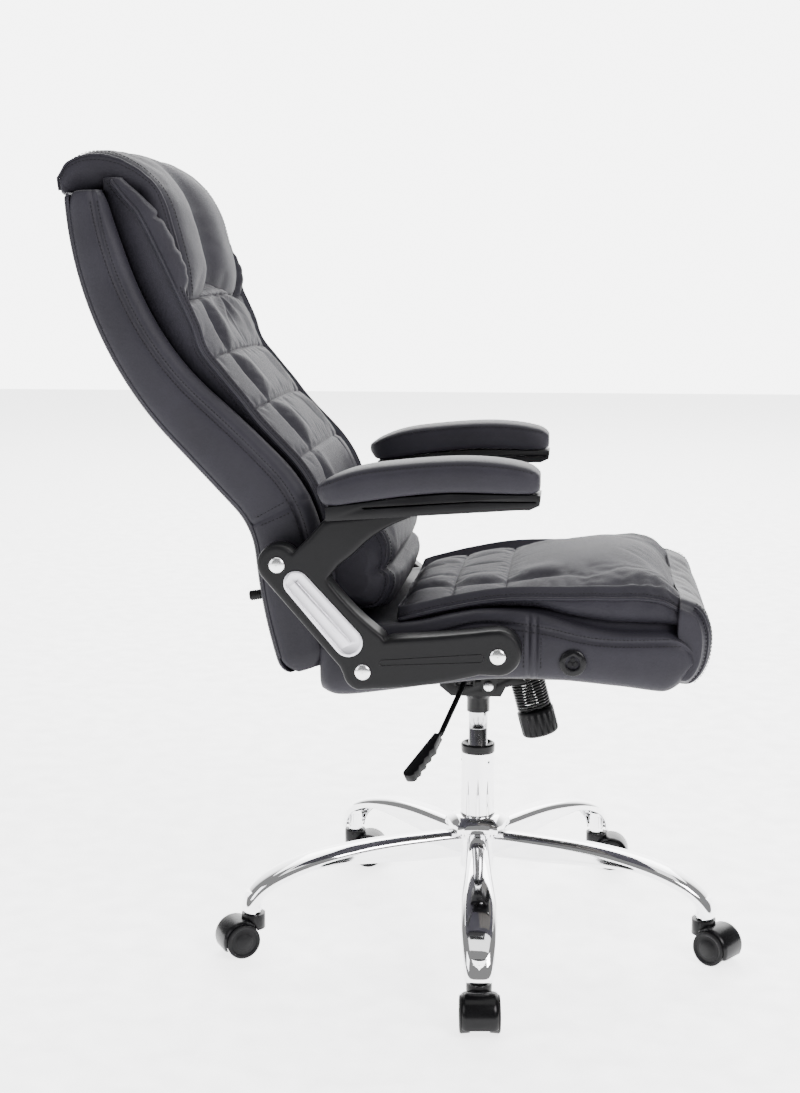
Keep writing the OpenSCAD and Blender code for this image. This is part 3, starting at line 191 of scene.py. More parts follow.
def loft(bm, rings, closed=True, caps=True):
    """Skin through rings of equally many points: each ring is extruded from the one before."""
    count = len(rings[0])
    if closed:
        ring = bmesh.ops.create_circle(bm, segments=count, radius=1.0)["verts"]
        edges = [bm.edges.get((ring[i], ring[(i + 1) % count])) for i in range(count)]
    else:
        ring = [bmesh.ops.create_vert(bm, co=p)["vert"][0] for p in rings[0]]
        edges = [bm.edges.new((a, b)) for a, b in zip(ring, ring[1:])]
    for vertex, place in zip(ring, rings[0]):
        vertex.co = place
    first = list(edges)
    made = []
    for places in rings[1:]:
        grown = bmesh.ops.extrude_edge_only(bm, edges=edges)["geom"]
        fresh = {g for g in grown if isinstance(g, bmesh.types.BMVert)}
        made += [g for g in grown if isinstance(g, bmesh.types.BMFace)]
        ring = [next(e.other_vert(v) for e in v.link_edges if e.other_vert(v) in fresh) for v in ring]
        for vertex, place in zip(ring, places):
            vertex.co = place
        pairs = zip(ring, ring[1:] + ring[:1]) if closed else zip(ring, ring[1:])
        edges = [bm.edges.get(pair) for pair in pairs]
    if closed and caps:
        for loop in (first, edges):
            made += bmesh.ops.contextual_create(bm, geom=loop)["faces"]
    bmesh.ops.recalc_face_normals(bm, faces=made)
    return made


def drawn_to_middle(ring, shares=(0.82, 0.55, 0.25)):
    """Rings that close an end, drawn in to its middle."""
    middle = sum((Vector(p) for p in ring), Vector()) / len(ring)
    return [[middle + (Vector(p) - middle) * share for p in ring] for share in shares]


def closed_loft(bm, rings):
    start = drawn_to_middle(rings[0])[::-1]
    return loft(bm, start + rings + drawn_to_middle(rings[-1]))


def tube(bm, path, radius, sides=8, closed=False):
    """Round cord along a path of points."""
    path = [Vector(p) for p in path]
    last = len(path) - 1
    rings = []
    up = None
    for i, p in enumerate(path):
        if closed:
            way = path[(i + 1) % (last + 1)] - path[i - 1]
        else:
            way = path[min(i + 1, last)] - path[max(i - 1, 0)]
        way.normalize()
        if up is None:
            up = way.orthogonal().normalized()
        up = (up - way * up.dot(way)).normalized()
        side = way.cross(up)
        rings.append([p + radius * (math.cos(a) * up + math.sin(a) * side)
                      for a in (2 * math.pi * k / sides for k in range(sides))])
    if closed:
        rings.append([Vector(p) for p in rings[0]])
    loft(bm, rings, caps=not closed)
    if closed:
        bmesh.ops.remove_doubles(bm, verts=bm.verts, dist=1e-6)


def away_from(middle, path):
    """Ways out from a middle, one for each point of a path."""
    return [(p - middle).normalized() for p in path]


def moved(x, y, z):
    return Matrix.Translation(Vector((x, y, z)) * MM)


def turned(degrees, axis="Z"):
    return Matrix.Rotation(math.radians(degrees), 4, axis)


def rod(bm, sides, radius, depth, place, tip=None):
    """Round rod or disc, made along Z round the origin and then put in its place."""
    ends = {"radius1": radius * MM, "radius2": (radius if tip is None else tip) * MM}
    made = bmesh.ops.create_cone(bm, cap_ends=True, segments=sides, depth=depth * MM, **ends)["verts"]
    bmesh.ops.transform(bm, matrix=place, verts=made)


def round_ring(radius, z, count):
    """Ring of points round the column's axis. Its radius is a number, or a function of the angle."""
    ring = []
    for a in (2 * math.pi * k / count for k in range(count)):
        out = radius(a) if callable(radius) else radius
        ring.append(Vector((out * math.cos(a), out * math.sin(a), z)) * MM)
    return ring


THREAD, STITCH, SUNK = 0.95, 3.5, 0.1  # thickness and length of a stitch, and how deep it lies


def stitch_row(bm, path, outs):
    """Short threads laid end to end along a path, each a small bar. outs is the way up, or a list of them."""
    if isinstance(outs, Vector):
        outs = [outs] * len(path)
    path = [Vector(p) for p in path]
    travelled = [0.0]
    for a, b in zip(path, path[1:]):
        travelled.append(travelled[-1] + (b - a).length)
    count = int(travelled[-1] / (bpy.context.scene.chair_sizes.seam_pitch * MM))
    for k in range(count):
        at = (k + 0.5) * travelled[-1] / count
        i = next(j for j in range(1, len(path)) if travelled[j] >= at - 1e-9)
        share = (at - travelled[i - 1]) / max(1e-9, travelled[i] - travelled[i - 1])
        place = path[i - 1].lerp(path[i], share)
        way = (path[i] - path[i - 1]).normalized()
        out = outs[i - 1].lerp(outs[i], share)
        out = (out - way * out.dot(way)).normalized()
        turn = Matrix((way.cross(out), out, way)).transposed().to_4x4()
        rod(bm, 6, THREAD / 2, STITCH, Matrix.Translation(place + out * (THREAD / 2 - SUNK) * MM) @ turn)


def finished(bm, name, body, material, stands_for=(), levels=0, sharp=None,
             soft=None):
    """Makes a piece of a bmesh, shades it, fills it where it is soft, and has it ride on its body; a piece
    given a tuple of bodies is only fixed in place and rides on none.
    """
    mesh = bpy.data.meshes.new(name)
    bm.to_mesh(mesh)
    bm.free()
    piece = bpy.data.objects.new(name, mesh)
    bpy.context.scene.collection.objects.link(piece)
    mesh.materials.append(material)
    mesh.shade_smooth()
    if sharp is not None:
        mesh.set_sharp_from_angle(angle=math.radians(sharp))
    if levels:
        smooth = piece.modifiers.new("Smooth", "SUBSURF")
        smooth.levels = smooth.render_levels = levels
    if soft:
        settled(piece, *soft)
    if isinstance(body, tuple):
        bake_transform(piece)
    else:
        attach(piece, body)
    if stands_for:
        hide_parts(*stands_for)
    return piece


def soft_cover(name, rings, finish, node, soft=None):
    """A padded cover lofted through its sections, which takes a soft node's place on the seat's body."""
    bm = bmesh.new()
    closed_loft(bm, rings)
    finished(bm, name, "seat", finish_of(finish), (node,), levels=1, soft=soft)


SHARP = math.radians(50)  # edges of a CAD node from this angle on are eased


def cad_copy(node, bevel=0.0):
    """A merged copy of a CAD node's mesh, with its sharp edges eased."""
    bm = bmesh.new()
    bm.from_mesh(frame["nodes"][node].data)
    bmesh.ops.remove_doubles(bm, verts=bm.verts, dist=2e-6)
    if bevel:
        bmesh.ops.dissolve_limit(bm, angle_limit=math.radians(0.5), verts=bm.verts, edges=bm.edges)
        edges = [e for e in bm.edges if len(e.link_faces) == 2 and e.calc_face_angle() > SHARP]
        bmesh.ops.bevel(bm, geom=edges, offset=bevel * MM, offset_type="OFFSET", segments=2, profile=0.5,
                        affect="EDGES", material=-1, clamp_overlap=True)
    return bm


def dressed(node, material, bevel=0.0, sharp=40.0):
    """Shows a CAD node as a smooth copy in its own finish."""
    body = next(b for b, nodes in frame["record"]["behaviour"]["bodies"].items() if node in nodes)
    finished(cad_copy(node, bevel), node + "_look", body, material, (node,), sharp=sharp)


def painted(node, material):
    """Gives a CAD node that stays as it is its finish."""
    mesh = frame["nodes"][node].data
    mesh.materials.clear()
    mesh.materials.append(material)


# Materials

def shaded(color, share):
    return tuple(share * c for c in color)


def new_material(name, color, roughness, metallic=0.0, specular=0.5):
    material = bpy.data.materials.new(name)
    material.use_nodes = True
    shader = material.node_tree.nodes["Principled BSDF"]
    shader.inputs["Base Color"].default_value = (*color, 1.0)
    shader.inputs["Roughness"].default_value = roughness
    shader.inputs["Metallic"].default_value = metallic
    shader.inputs["Specular IOR Level"].default_value = specular
    return material, shader


def add_node(material, kind, **settings):
    node = material.node_tree.nodes.new(kind)
    for key, value in settings.items():
        if key in node.inputs:
            node.inputs[key].default_value = value
        else:
            setattr(node, key, value)
    return node


def join(material, a, b):
    material.node_tree.links.new(a, b)


def object_place(material):
    return add_node(material, "ShaderNodeTexCoord").outputs["Object"]


def spread(material, source, low, high):
    """A noise value, most of which lies between 0.3 and 0.7, stretched to a range."""
    ranged = add_node(material, "ShaderNodeMapRange")
    for key, value in (("From Min", 0.3), ("From Max", 0.7), ("To Min", low), ("To Max", high)):
        ranged.inputs[key].default_value = value
    join(material, source, ranged.inputs["Value"])
    return ranged.outputs["Result"]


def tinted(material, shader, source, dark, light):
    """Base colour that wanders between two shades."""
    ramp = add_node(material, "ShaderNodeMix", data_type="RGBA")
    for socket, shade in zip([s for s in ramp.inputs if s.type == "RGBA"], (dark, light)):
        socket.default_value = (*shade, 1.0)
    join(material, source, ramp.inputs["Factor"])
    join(material, next(o for o in ramp.outputs if o.type == "RGBA"), shader.inputs["Base Color"])


def bumped(material, shader, height, strength, distance):
    bump = add_node(material, "ShaderNodeBump", Strength=strength, Distance=distance)
    join(material, height, bump.inputs["Height"])
    join(material, bump.outputs["Normal"], shader.inputs["Normal"])


def leather(name, color, roughness, grain=0.35, cell=1.1):
    """Pebbled leather: cells a millimetre across over a slow unevenness in shade and gloss."""
    material, shader = new_material(name, color, roughness, specular=0.17)
    place = object_place(material)
    cells = add_node(material, "ShaderNodeTexVoronoi", feature="F1", Scale=1000 / cell)
    slow = add_node(material, "ShaderNodeTexNoise", Scale=14.0, Detail=3.0)
    fine = add_node(material, "ShaderNodeTexNoise", Scale=420.0, Detail=4.0)
    for texture in (cells, slow, fine):
        join(material, place, texture.inputs["Vector"])
    height = add_node(material, "ShaderNodeMath", operation="ADD")
    join(material, cells.outputs["Distance"], height.inputs[0])
    join(material, fine.outputs["Fac"], height.inputs[1])
    bumped(material, shader, height.outputs[0], grain, 0.00035)
    tinted(material, shader, spread(material, slow.outputs["Fac"], 0.0, 1.0),
           shaded(color, 0.86), shaded(color, 1.16))
    gloss = spread(material, fine.outputs["Fac"], roughness - 0.05, roughness + 0.06)
    join(material, gloss, shader.inputs["Roughness"])
    return material


def moulded(name, color, roughness, texture=0.2, scale=900.0, specular=0.16):
    """Moulded plastic with a fine spark-eroded texture."""
    material, shader = new_material(name, color, roughness, specular=specular)
    place = object_place(material)
    fine = add_node(material, "ShaderNodeTexNoise", Scale=scale, Detail=3.0)
    slow = add_node(material, "ShaderNodeTexNoise", Scale=22.0, Detail=2.0)
    join(material, place, fine.inputs["Vector"])
    join(material, place, slow.inputs["Vector"])
    bumped(material, shader, fine.outputs["Fac"], texture, 0.0003)
    tinted(material, shader, spread(material, slow.outputs["Fac"], 0.0, 1.0),
           shaded(color, 0.85), shaded(color, 1.2))
    join(material, spread(material, slow.outputs["Fac"], roughness - 0.04, roughness + 0.05),
         shader.inputs["Roughness"])
    return material


def metal(name, color, roughness, brushed=0.0, scale=(8.0, 8.0, 900.0)):
    """Plated or ground metal, with fine lines round it where it is turned."""
    material, shader = new_material(name, color, roughness, metallic=1.0)
    place = object_place(material)
    slow = add_node(material, "ShaderNodeTexNoise", Scale=30.0, Detail=3.0)
    join(material, place, slow.inputs["Vector"])
    join(material, spread(material, slow.outputs["Fac"], roughness * 0.8, roughness * 1.25),
         shader.inputs["Roughness"])
    if brushed:
        stretch = add_node(material, "ShaderNodeMapping")
        stretch.inputs["Scale"].default_value = scale
        lines = add_node(material, "ShaderNodeTexNoise", Scale=1.0, Detail=4.0)
        join(material, place, stretch.inputs["Vector"])
        join(material, stretch.outputs["Vector"], lines.inputs["Vector"])
        bumped(material, shader, lines.outputs["Fac"], brushed, 0.0002)
    return material


def plywood(name):
    """Plywood stained black, with its grain still to be seen."""
    material, shader = new_material(name, (0.02, 0.018, 0.016), 0.7)
    place = object_place(material)
    grain = add_node(material, "ShaderNodeTexWave", Scale=20.0, Distortion=6.0, Detail=3.0)
    join(material, place, grain.inputs["Vector"])
    tinted(material, shader, grain.outputs["Fac"], (0.014, 0.012, 0.011), (0.026, 0.023, 0.02))
    return material


MATERIALS = {}


def finish_of(key):
    """The material of a finish, made the first time it is asked for."""
    if key not in MATERIALS:
        look = bpy.context.scene.chair_colours
        hide, gloss, resin = tuple(look.leather), look.leather_gloss, tuple(look.plastic)
        maker, *values, extra = {
            "side_leather": (leather, "side leather", hide, gloss, {}),
            "quilt_leather": (leather, "quilted leather", shaded(hide, 1.08), gloss + 0.11, {"grain": 0.6}),
            "piping": (leather, "piping leather", shaded(hide, 1.05), gloss - 0.06, {"grain": 0.2}),
            "rear_vinyl": (leather, "rear vinyl", shaded(hide, 0.9), 0.5, {"grain": 0.5, "cell": 1.6}),
            "thread": (moulded, "sewing thread", tuple(look.thread), 0.6, {"scale": 2500.0}),
            "black_plastic": (moulded, "black moulding", resin, 0.42, {}),
            "smooth_plastic": (moulded, "glossy moulding", resin, 0.24, {"texture": 0.06}),
            "black_paint": (moulded, "black enamel", shaded(resin, 0.8), 0.3,
                            {"texture": 0.12, "scale": 260.0}),
            "rubber": (moulded, "wheel tread", shaded(resin, 0.9), 0.5, {"texture": 0.15}),
            "silver": (metal, "silver moulding", tuple(look.silver), 0.36, {}),
            "chrome": (metal, "chrome plate", tuple(look.chrome), 0.05, {}),
            "ground_steel": (metal, "ground steel", (0.6, 0.6, 0.61), 0.2, {"brushed": 0.12}),
            "bolt_steel": (metal, "zinc plate", (0.6, 0.6, 0.58), 0.32,
                           {"brushed": 0.1, "scale": (300, 300, 300)}),
            "cap_metal": (metal, "domed cap plate", (0.82, 0.82, 0.83), 0.22, {}),
            "plywood": (plywood, "plywood", {}),
            "floor": (moulded, "studio floor", (0.95, 0.95, 0.955), 0.6, {"texture": 0.004, "scale": 400.0}),
        }[key]
        MATERIALS[key] = maker(*values, **extra)
    return MATERIALS[key]


# Settings

class ChairSizes(bpy.types.PropertyGroup):
    """Sizes of what is sewn and stitched."""

    seam_pitch: FloatProperty(name="Stitch pitch", default=5.2, min=3.0, max=9.0,
                              description="Distance from stitch to stitch, in millimetres")
    piping: FloatProperty(name="Piping radius", description="Radius of the piping cord, in millimetres",
                          default=2.6, min=1.5, max=4.0)
    channel: FloatProperty(name="Channel depth", description="Depth of a sewn channel, in millimetres",
                           default=7.0, min=3.0, max=10.0)
    puff: FloatProperty(name="Quilt puff", description="How far a quilted cell swells, in millimetres",
                        default=7.0, min=0.0, max=12.0)
    pressure: FloatProperty(name="Filling", description="Pressure that fills the padded pieces",
                            default=4.0, min=0.0, max=10.0)
    cloth_frames: IntProperty(name="Settling", description="Steps for which a padded piece settles",
                              default=20, min=5, max=60)


class ChairColours(bpy.types.PropertyGroup):
    """Colours of the finishes."""

    leather: FloatVectorProperty(name="Leather", description="Colour of the leather", subtype="COLOR",
                                 default=(0.0138, 0.013, 0.0175), min=0.0, max=1.0)
    leather_gloss: FloatProperty(name="Leather roughness", description="Roughness of the leather",
                                 subtype="FACTOR", default=0.52, min=0.1, max=1.0)
    thread: FloatVectorProperty(name="Thread", description="Colour of the sewing thread", subtype="COLOR",
                                default=(0.003, 0.003, 0.004), min=0.0, max=1.0)
    plastic: FloatVectorProperty(name="Plastic", description="Colour of the mouldings", subtype="COLOR",
                                 default=(0.0035, 0.0035, 0.004), min=0.0, max=1.0)
    silver: FloatVectorProperty(name="Silver", description="Colour of the arm inserts", subtype="COLOR",
                                default=(0.58, 0.57, 0.61), min=0.0, max=1.0)
    chrome: FloatVectorProperty(name="Chrome", description="Colour of the plating", subtype="COLOR",
                                default=(0.9, 0.9, 0.91), min=0.0, max=1.0)


# Stage

class CHAIR_OT_stage(bpy.types.Operator):
    """Set up the floor, the backdrop, the lights and the camera"""

    bl_idname = "chair.stage"
    bl_label = "Studio"

    def execute(self, context):
        bm = bmesh.new()
        bmesh.ops.create_grid(bm, x_segments=2, y_segments=2, size=12.0)
        mesh = bpy.data.meshes.new("studio_floor")
        bm.to_mesh(mesh)
        bm.free()
        floor = bpy.data.objects.new("studio_floor", mesh)
        context.scene.collection.objects.link(floor)
        mesh.materials.append(finish_of("floor"))
        shader = mesh.materials[0].node_tree.nodes["Principled BSDF"]
        shader.inputs["Emission Color"].default_value = (1.0, 1.0, 1.0, 1.0)
        shader.inputs["Emission Strength"].default_value = 2.9

        world = bpy.data.worlds.new("studio")
        world.use_nodes = True
        nodes, links = world.node_tree.nodes, world.node_tree.links
        way = nodes.new("ShaderNodeTexCoord")
        parts = nodes.new("ShaderNodeSeparateXYZ")
        glow = nodes.new("ShaderNodeMapRange")
        for key, value in (("From Min", 0.6), ("From Max", 0.93), ("To Min", 0.3), ("To Max", 6.4)):
            glow.inputs[key].default_value = value
        links.new(way.outputs["Generated"], parts.inputs["Vector"])
        links.new(parts.outputs["Y"], glow.inputs["Value"])
        links.new(glow.outputs["Result"], nodes["Background"].inputs["Strength"])
        nodes["Background"].inputs["Color"].default_value = (1.0, 1.0, 1.0, 1.0)
        context.scene.world = world

        for name, place, aim, size, power, tone in (
                ("key_light", (2.0, -2.0, 2.3), (0, 0, 0.6), 1.5, 112.0, (1.0, 0.975, 0.995)),
                ("fill_light", (-2.4, -1.6, 1.5), (0, 0, 0.6), 1.6, 32.0, (0.97, 0.97, 1.0)),
                ("top_light", (0.1, 0.2, 2.8), (0, 0.2, 0), 3.0, 55.0, (1.0, 1.0, 1.0)),
                ("floor_light", (0.0, 4.6, 3.4), (0, 4.6, 0), 6.0, 480.0, (1.0, 1.0, 1.0))):
            data = bpy.data.lights.new(name, "AREA")
            data.shape, data.size, data.energy, data.color = "SQUARE", size, power, tone
            light = bpy.data.objects.new(name, data)
            context.scene.collection.objects.link(light)
            light.location = place
            light.rotation_euler = (Vector(aim) - Vector(place)).to_track_quat("-Z", "Y").to_euler()

        lens = bpy.data.cameras.new("camera")
        lens.lens, lens.sensor_width = 55.8, 36.0
        camera = bpy.data.objects.new("camera", lens)
        context.scene.collection.objects.link(camera)
        camera.location = (0.1454, -2.4615, 0.979)
        camera.rotation_euler = (math.radians(80.93), 0.0, math.radians(6.1))
        context.scene.camera = camera
        return {"FINISHED"}


# Base, casters and column

LEG_RADIUS, STEM_Z, LEG_TOP = 345.0, 60.0, 153.0
COLUMN_RADIUS, BORE, SHEET = 25.0, 25.6, 2.4  # the hub's bore clears the column, and SHEET is the legs'


def leg_line(t):
    """Crown line of a leg as (distance out, height), t from 0 at its root to 90 at its tip."""
    rise = LEG_TOP - STEM_Z + 10
    a = math.radians(t)
    return (60 + (LEG_RADIUS - 45) * math.sin(a) ** 0.8, STEM_Z - 10 + rise * max(0.0, math.cos(a)) ** 0.8)


def leg_ring(t):
    (x0, z0), (x1, z1) = leg_line(t - 0.4), leg_line(t + 0.4)
    return leg_section(*leg_line(t), math.atan2(z1 - z0, x1 - x0))


def leg_section(x, z, slope):
    """Section of a leg as an open channel, from one lower edge over the crown to the other."""
    depth = 14 + 22 * (1 - min(1.0, max(0.0, (x - 38) / (LEG_RADIUS - 133))) ** 2.2)
    half = lookup(x, [(34, 14), (180, 17.8), (255, 22.5), (308, 22.5), (335, 20), (359, 17)])
    crown = min(9.0, depth * 0.6)
    side = [(half, depth), (half, mix(crown, depth, 0.5))]
    side += [(half * math.cos(math.radians(a)) ** 0.6, crown * (1 - math.sin(math.radians(a))))
             for a in (0, 14, 28, 42, 56, 70, 82)]
    outline = side + [(0.0, 0.0)] + [(-a, b) for a, b in reversed(side)]
    return [Vector((x + b * math.sin(slope), a, z - b * math.cos(slope))) * MM for a, b in outline]


def five_sided(a):
    """Share of the corners' radius at which the collar's rounded pentagon lies, at an angle."""
    corner = (a - math.radians(LEG_ANGLES[0] + 36)) % (2 * math.pi / 5)
    return mix(math.cos(math.pi / 5) / math.cos(corner - math.pi / 5), 1.0, 0.18)


def flute(a):
    """Depth of the column's ten flutes at an angle."""
    off = (a - math.radians(LEG_ANGLES[0])) % math.radians(36)
    return 1.3 * dent(min(off, math.radians(36) - off) * COLUMN_RADIUS, 1.1)


class CHAIR_OT_base(bpy.types.Operator):
    """Make the chrome star base with its sockets, hub and collar"""

    bl_idname = "chair.base"
    bl_label = "Star base"

    def execute(self, context):
        bm = bmesh.new()
        turns = [2, 5, 9, 14, 20, 27, 35, 42, 49, 56, 62, 67, 72, 76, 80, 83, 86]
        root = [leg_section(x, LEG_TOP + 0.5, 0.0) for x in (28, 32, 45, 62)]
        loft(bm, root + [leg_ring(t) for t in turns], closed=False)
        one_leg = bm.verts[:] + bm.edges[:] + bm.faces[:]
        for angle in LEG_ANGLES[1:]:
            fresh = bmesh.ops.duplicate(bm, geom=one_leg)["geom"]
            bmesh.ops.rotate(bm, verts=[g for g in fresh if isinstance(g, bmesh.types.BMVert)],
                             cent=(0, 0, 0), matrix=turned(angle - LEG_ANGLES[0]).to_3x3())
        bmesh.ops.rotate(bm, verts=bm.verts, cent=(0, 0, 0), matrix=turned(LEG_ANGLES[0]).to_3x3())
        legs = finished(bm, "base_legs", "base", finish_of("chrome"), ("base_star",))
        wall = legs.modifiers.new("Sheet", "SOLIDIFY")
        wall.thickness, wall.offset = SHEET * MM, 1.0
        smooth = legs.modifiers.new("Smooth", "SUBSURF")
        smooth.levels = smooth.render_levels = 2

        bm = bmesh.new()
        for angle in LEG_ANGLES:
            spot = turned(angle) @ moved(LEG_RADIUS, 0, 0)
            rod(bm, 32, 11, 32, spot @ moved(0, 0, STEM_Z + 16))
            for k in range(8):
                rod(bm, 10, 1.5, 26, spot @ (turned(45 * k) @ moved(10.4, 0, 0)) @ moved(0, 0, STEM_Z + 13))
        finished(bm, "base_sockets", "base", finish_of("chrome"), ("base_star",), sharp=35)

        bm = bmesh.new()
        hub = ((BORE, 158), (BORE, 117), (33, 117), (34, 118.5), (34, 158.5))
        loft(bm, [round_ring(r, z, 96) for r, z in hub], caps=False)
        finished(bm, "base_hub", "base", finish_of("chrome"), ("base_star",), sharp=40)

        bm = bmesh.new()
        collar = ((BORE, 158.2, 1.0), (50.5, 158.2, 0.0), (51.5, 159.5, 0.0), (51.5, 164, 0.0),
                  (50, 168.5, 0.1), (44, 173.5, 0.35), (36, 177.5, 0.8), (31, 179.2, 1.0), (BORE, 179.2, 1.0))
        loft(bm, [round_ring(lambda a, r=r, share=share: r * mix(five_sided(a), 1.0, share), z, 100)
                  for r, z, share in collar], caps=False)
        finished(bm, "base_collar", "base", finish_of("chrome"), ("base_star",), sharp=30)
        return {"FINISHED"}


class CHAIR_OT_casters(bpy.types.Operator):
    """Finish the five casters: hoods, twin wheels, axles and stems"""

    bl_idname = "chair.casters"
    bl_label = "Casters"

    def execute(self, context):
        for i in range(1, 6):
            dressed(f"caster{i}_hood", finish_of("smooth_plastic"), bevel=0.5)
            for side in ("l", "r"):
                dressed(f"caster{i}_wheel_{side}", finish_of("rubber"), bevel=0.3)
            painted(f"caster{i}_axle", finish_of("ground_steel"))
        dressed("caster_stems", finish_of("ground_steel"))
        return {"FINISHED"}


class CHAIR_OT_column(bpy.types.Operator):
    """Make the fluted chrome column, its collar and the gas cylinder"""

    bl_idname = "chair.column"
    bl_label = "Column"

    def execute(self, context):
        bm = bmesh.new()
        rings = ((22, 98, 0), (24.4, 98, 0), (25, 98.8, 0), (25, 176, 0), (25, 179, 1), (25, 195, 1),
                 (25, 206, 0.9), (25, 211, 0.5), (25, 214, 0), (25, 275.2, 0), (24.4, 276, 0), (23, 276, 0))
        loft(bm, [round_ring(lambda a, r=r, cut=cut: r - cut * flute(a), z, 240) for r, z, cut in rings],
             caps=False)
        finished(bm, "column_tube", "base", finish_of("chrome"), ("gas_column",), sharp=35)

        bm = bmesh.new()
        for angle in (-46, 74, 194):
            rod(bm, 20, 2, 0.3, turned(angle) @ moved(COLUMN_RADIUS, 0, 263) @ turned(90, "Y"), tip=1.7)
        finished(bm, "column_dimples", "base", finish_of("smooth_plastic"), sharp=35)

        dressed("column_bush", finish_of("smooth_plastic"))
        dressed("gas_cylinder", finish_of("ground_steel"))
        for node in ("piston_rod", "thrust_bearing", "release_pin"):
            painted(node, finish_of("ground_steel"))
        return {"FINISHED"}


class CHAIR_OT_mechanism(bpy.types.Operator):
    """Finish the tilt mechanism: housing, plate, pivot bolt, spring, knob and lever"""

    bl_idname = "chair.mechanism"
    bl_label = "Tilt mechanism"

    def execute(self, context):
        dressed("mechanism_housing", finish_of("black_paint"), bevel=0.8)
        dressed("seat_plate", finish_of("black_paint"), bevel=0.5)
        dressed("tilt_pivot_bolt", finish_of("cap_metal"), bevel=0.3)
        dressed("tension_knob", finish_of("black_plastic"), bevel=0.4)
        for node in ("lever_barrel", "lever_rod"):
            dressed(node, finish_of("black_paint"))
        dressed("lever_grip", finish_of("black_plastic"), bevel=1.0)
        for node in ("tension_bolt", "seat_bolts", "arm_bolts"):
            painted(node, finish_of("bolt_steel"))
        for node in ("seat_frame", "back_frame"):
            painted(node, finish_of("plywood"))

        bm = bmesh.new()
        wire = bmesh.ops.create_circle(bm, segments=10, radius=1.95 * MM)["verts"]
        bmesh.ops.rotate(bm, verts=wire, cent=(0, 0, 0), matrix=turned(90, "X").to_3x3())
        bmesh.ops.translate(bm, verts=wire, vec=(24 * MM, 0, 2.0 * MM))
        turns, rise = 11, 47.0
        bmesh.ops.spin(bm, geom=bm.verts[:] + bm.edges[:], cent=(0, 0, 0), axis=(0, 0, 1),
                       dvec=(0, 0, rise / turns / 32 * MM), angle=2 * math.pi * turns, steps=32 * turns,
                       use_merge=False, use_duplicate=False)
        bmesh.ops.holes_fill(bm, edges=[e for e in bm.edges if e.is_boundary], sides=0)
        bmesh.ops.recalc_face_normals(bm, faces=bm.faces)
        lean = Matrix.Translation((0.084, 0, 0.344)) @ turned(-15, "Y")
        bmesh.ops.transform(bm, matrix=lean, verts=bm.verts)
        ends = [tuple(lean @ Vector((0, 0, z * MM))) for z in (4, rise)]
        finished(bm, "tension_coil", ("seat", "lift", *ends), finish_of("black_paint"),
                 ("tension_spring",))
        return {"FINISHED"}


# Seat: x runs from the back forwards, and each table gives a height above the board's underside

def seat_low(x):
    return flowing(x, [(-204, -18), (-178, -26), (-119, -20), (-37, -7), (50, 5), (200, 5), (285, 0)])


def seat_seam(x):
    return flowing(x, [(-200, 47), (-112, 53), (-51, 64), (16, 81), (89, 76), (176, 60), (285, 62)])


def seat_crest(x):
    return flowing(x, [(-204, 66), (-119, 76), (-65, 83), (-24, 93), (16, 100), (56, 100), (96, 96),
                       (149, 82), (200, 74), (285, 74)])


def seat_core(x):
    return lookup(x, [(-204, 62), (-119, 72), (-65, 79), (-24, 89), (16, 96), (60, 98), (255, 98), (285, 92)])


def pad_edge(x):
    return flowing(x, [(-107, 78), (-84, 84), (-25, 99), (42, 111), (122, 114), (254, 114), (282, 100)])


def pad_seam(x):
    """Height of the seam round the seat pad, which wanders a little in front."""
    return pad_edge(x) + 0.8 * math.sin(x / 11.0) * smooth_step(120, 230, x)


def pad_crown(x):
    return flowing(x, [(-96, 90), (-84, 103), (-50, 113), (0, 121), (50, 129), (90, 139), (120, 147),
                       (160, 154), (190, 157), (227, 154), (246, 147), (263, 134), (276, 114), (282, 106)])


def quilt_line(x):
    """Distance of the seat's lengthwise seam from the middle."""
    return 125 + flowing(x, [(-100, -22), (-63, -17), (-25, 0), (51, 16), (107, 20), (141, 34)])


def both(half):
    """A half outline of (side distance, height), from the underside up, completed by its mirror image."""
    return half + [(-a, b) for a, b in reversed(half) if a > 0]


def skirt_low(x):
    """Lower edge of the seat's boxing, which hangs a little lower in front."""
    return seat_low(x) - flowing(x, [(-60, 0), (40, 3), (120, 5), (200, 10), (262, 13), (285, 8), (299, 5)])


def seat_side_half(x):
    """Outline of the seat's boxing, from the middle of its underside round to the middle of its top."""
    seam, crest, top = seat_seam(min(x, 285)), seat_crest(min(x, 285)), seat_core(min(x, 285))
    low = skirt_low(x)
    end = smooth_step(-204, -188, x)
    w = SEAT_HALF - 8 * (1 - end) - 2.6 * dent(x - 81, 2.2) - 2.6 * dent(x - 91, 2.2)
    w -= 0.9 * ripple(x, 0, 3, 70) + 0.5
    if x > 256:
        nose = math.sqrt(max(0.02, 1 - ((x - 256) / 44) ** 2))
        low, seam, crest, top = (mix(34, v, nose) for v in (low, seam, crest, top))
        w -= 9 * (1 - nose)
    return [(0, low + 3), (w * 0.5, low + 1.5), (w - 45, low), (w - 22, low + 0.5), (w - 9, low + 5),
            (w - 2.5, low + 14), (w - 0.3, mix(low, seam, 0.35)), (w, mix(low, seam, 0.6)),
            (w - 0.6, seam - 8), (w - 2.2, seam - 3), (w - 5.4, seam), (w - 2.4, seam + 3),
            (w - 1.6, seam + 7), (w - 3.5, mix(seam, crest, 0.62)), (w - 9, crest - 2.2), (w - 18, crest),
            (w - 27, crest - 2), (w - 36, mix(crest, top, 0.8)), (w - 48, top), (w - 80, top),
            (w * 0.5, top), (0, top)]


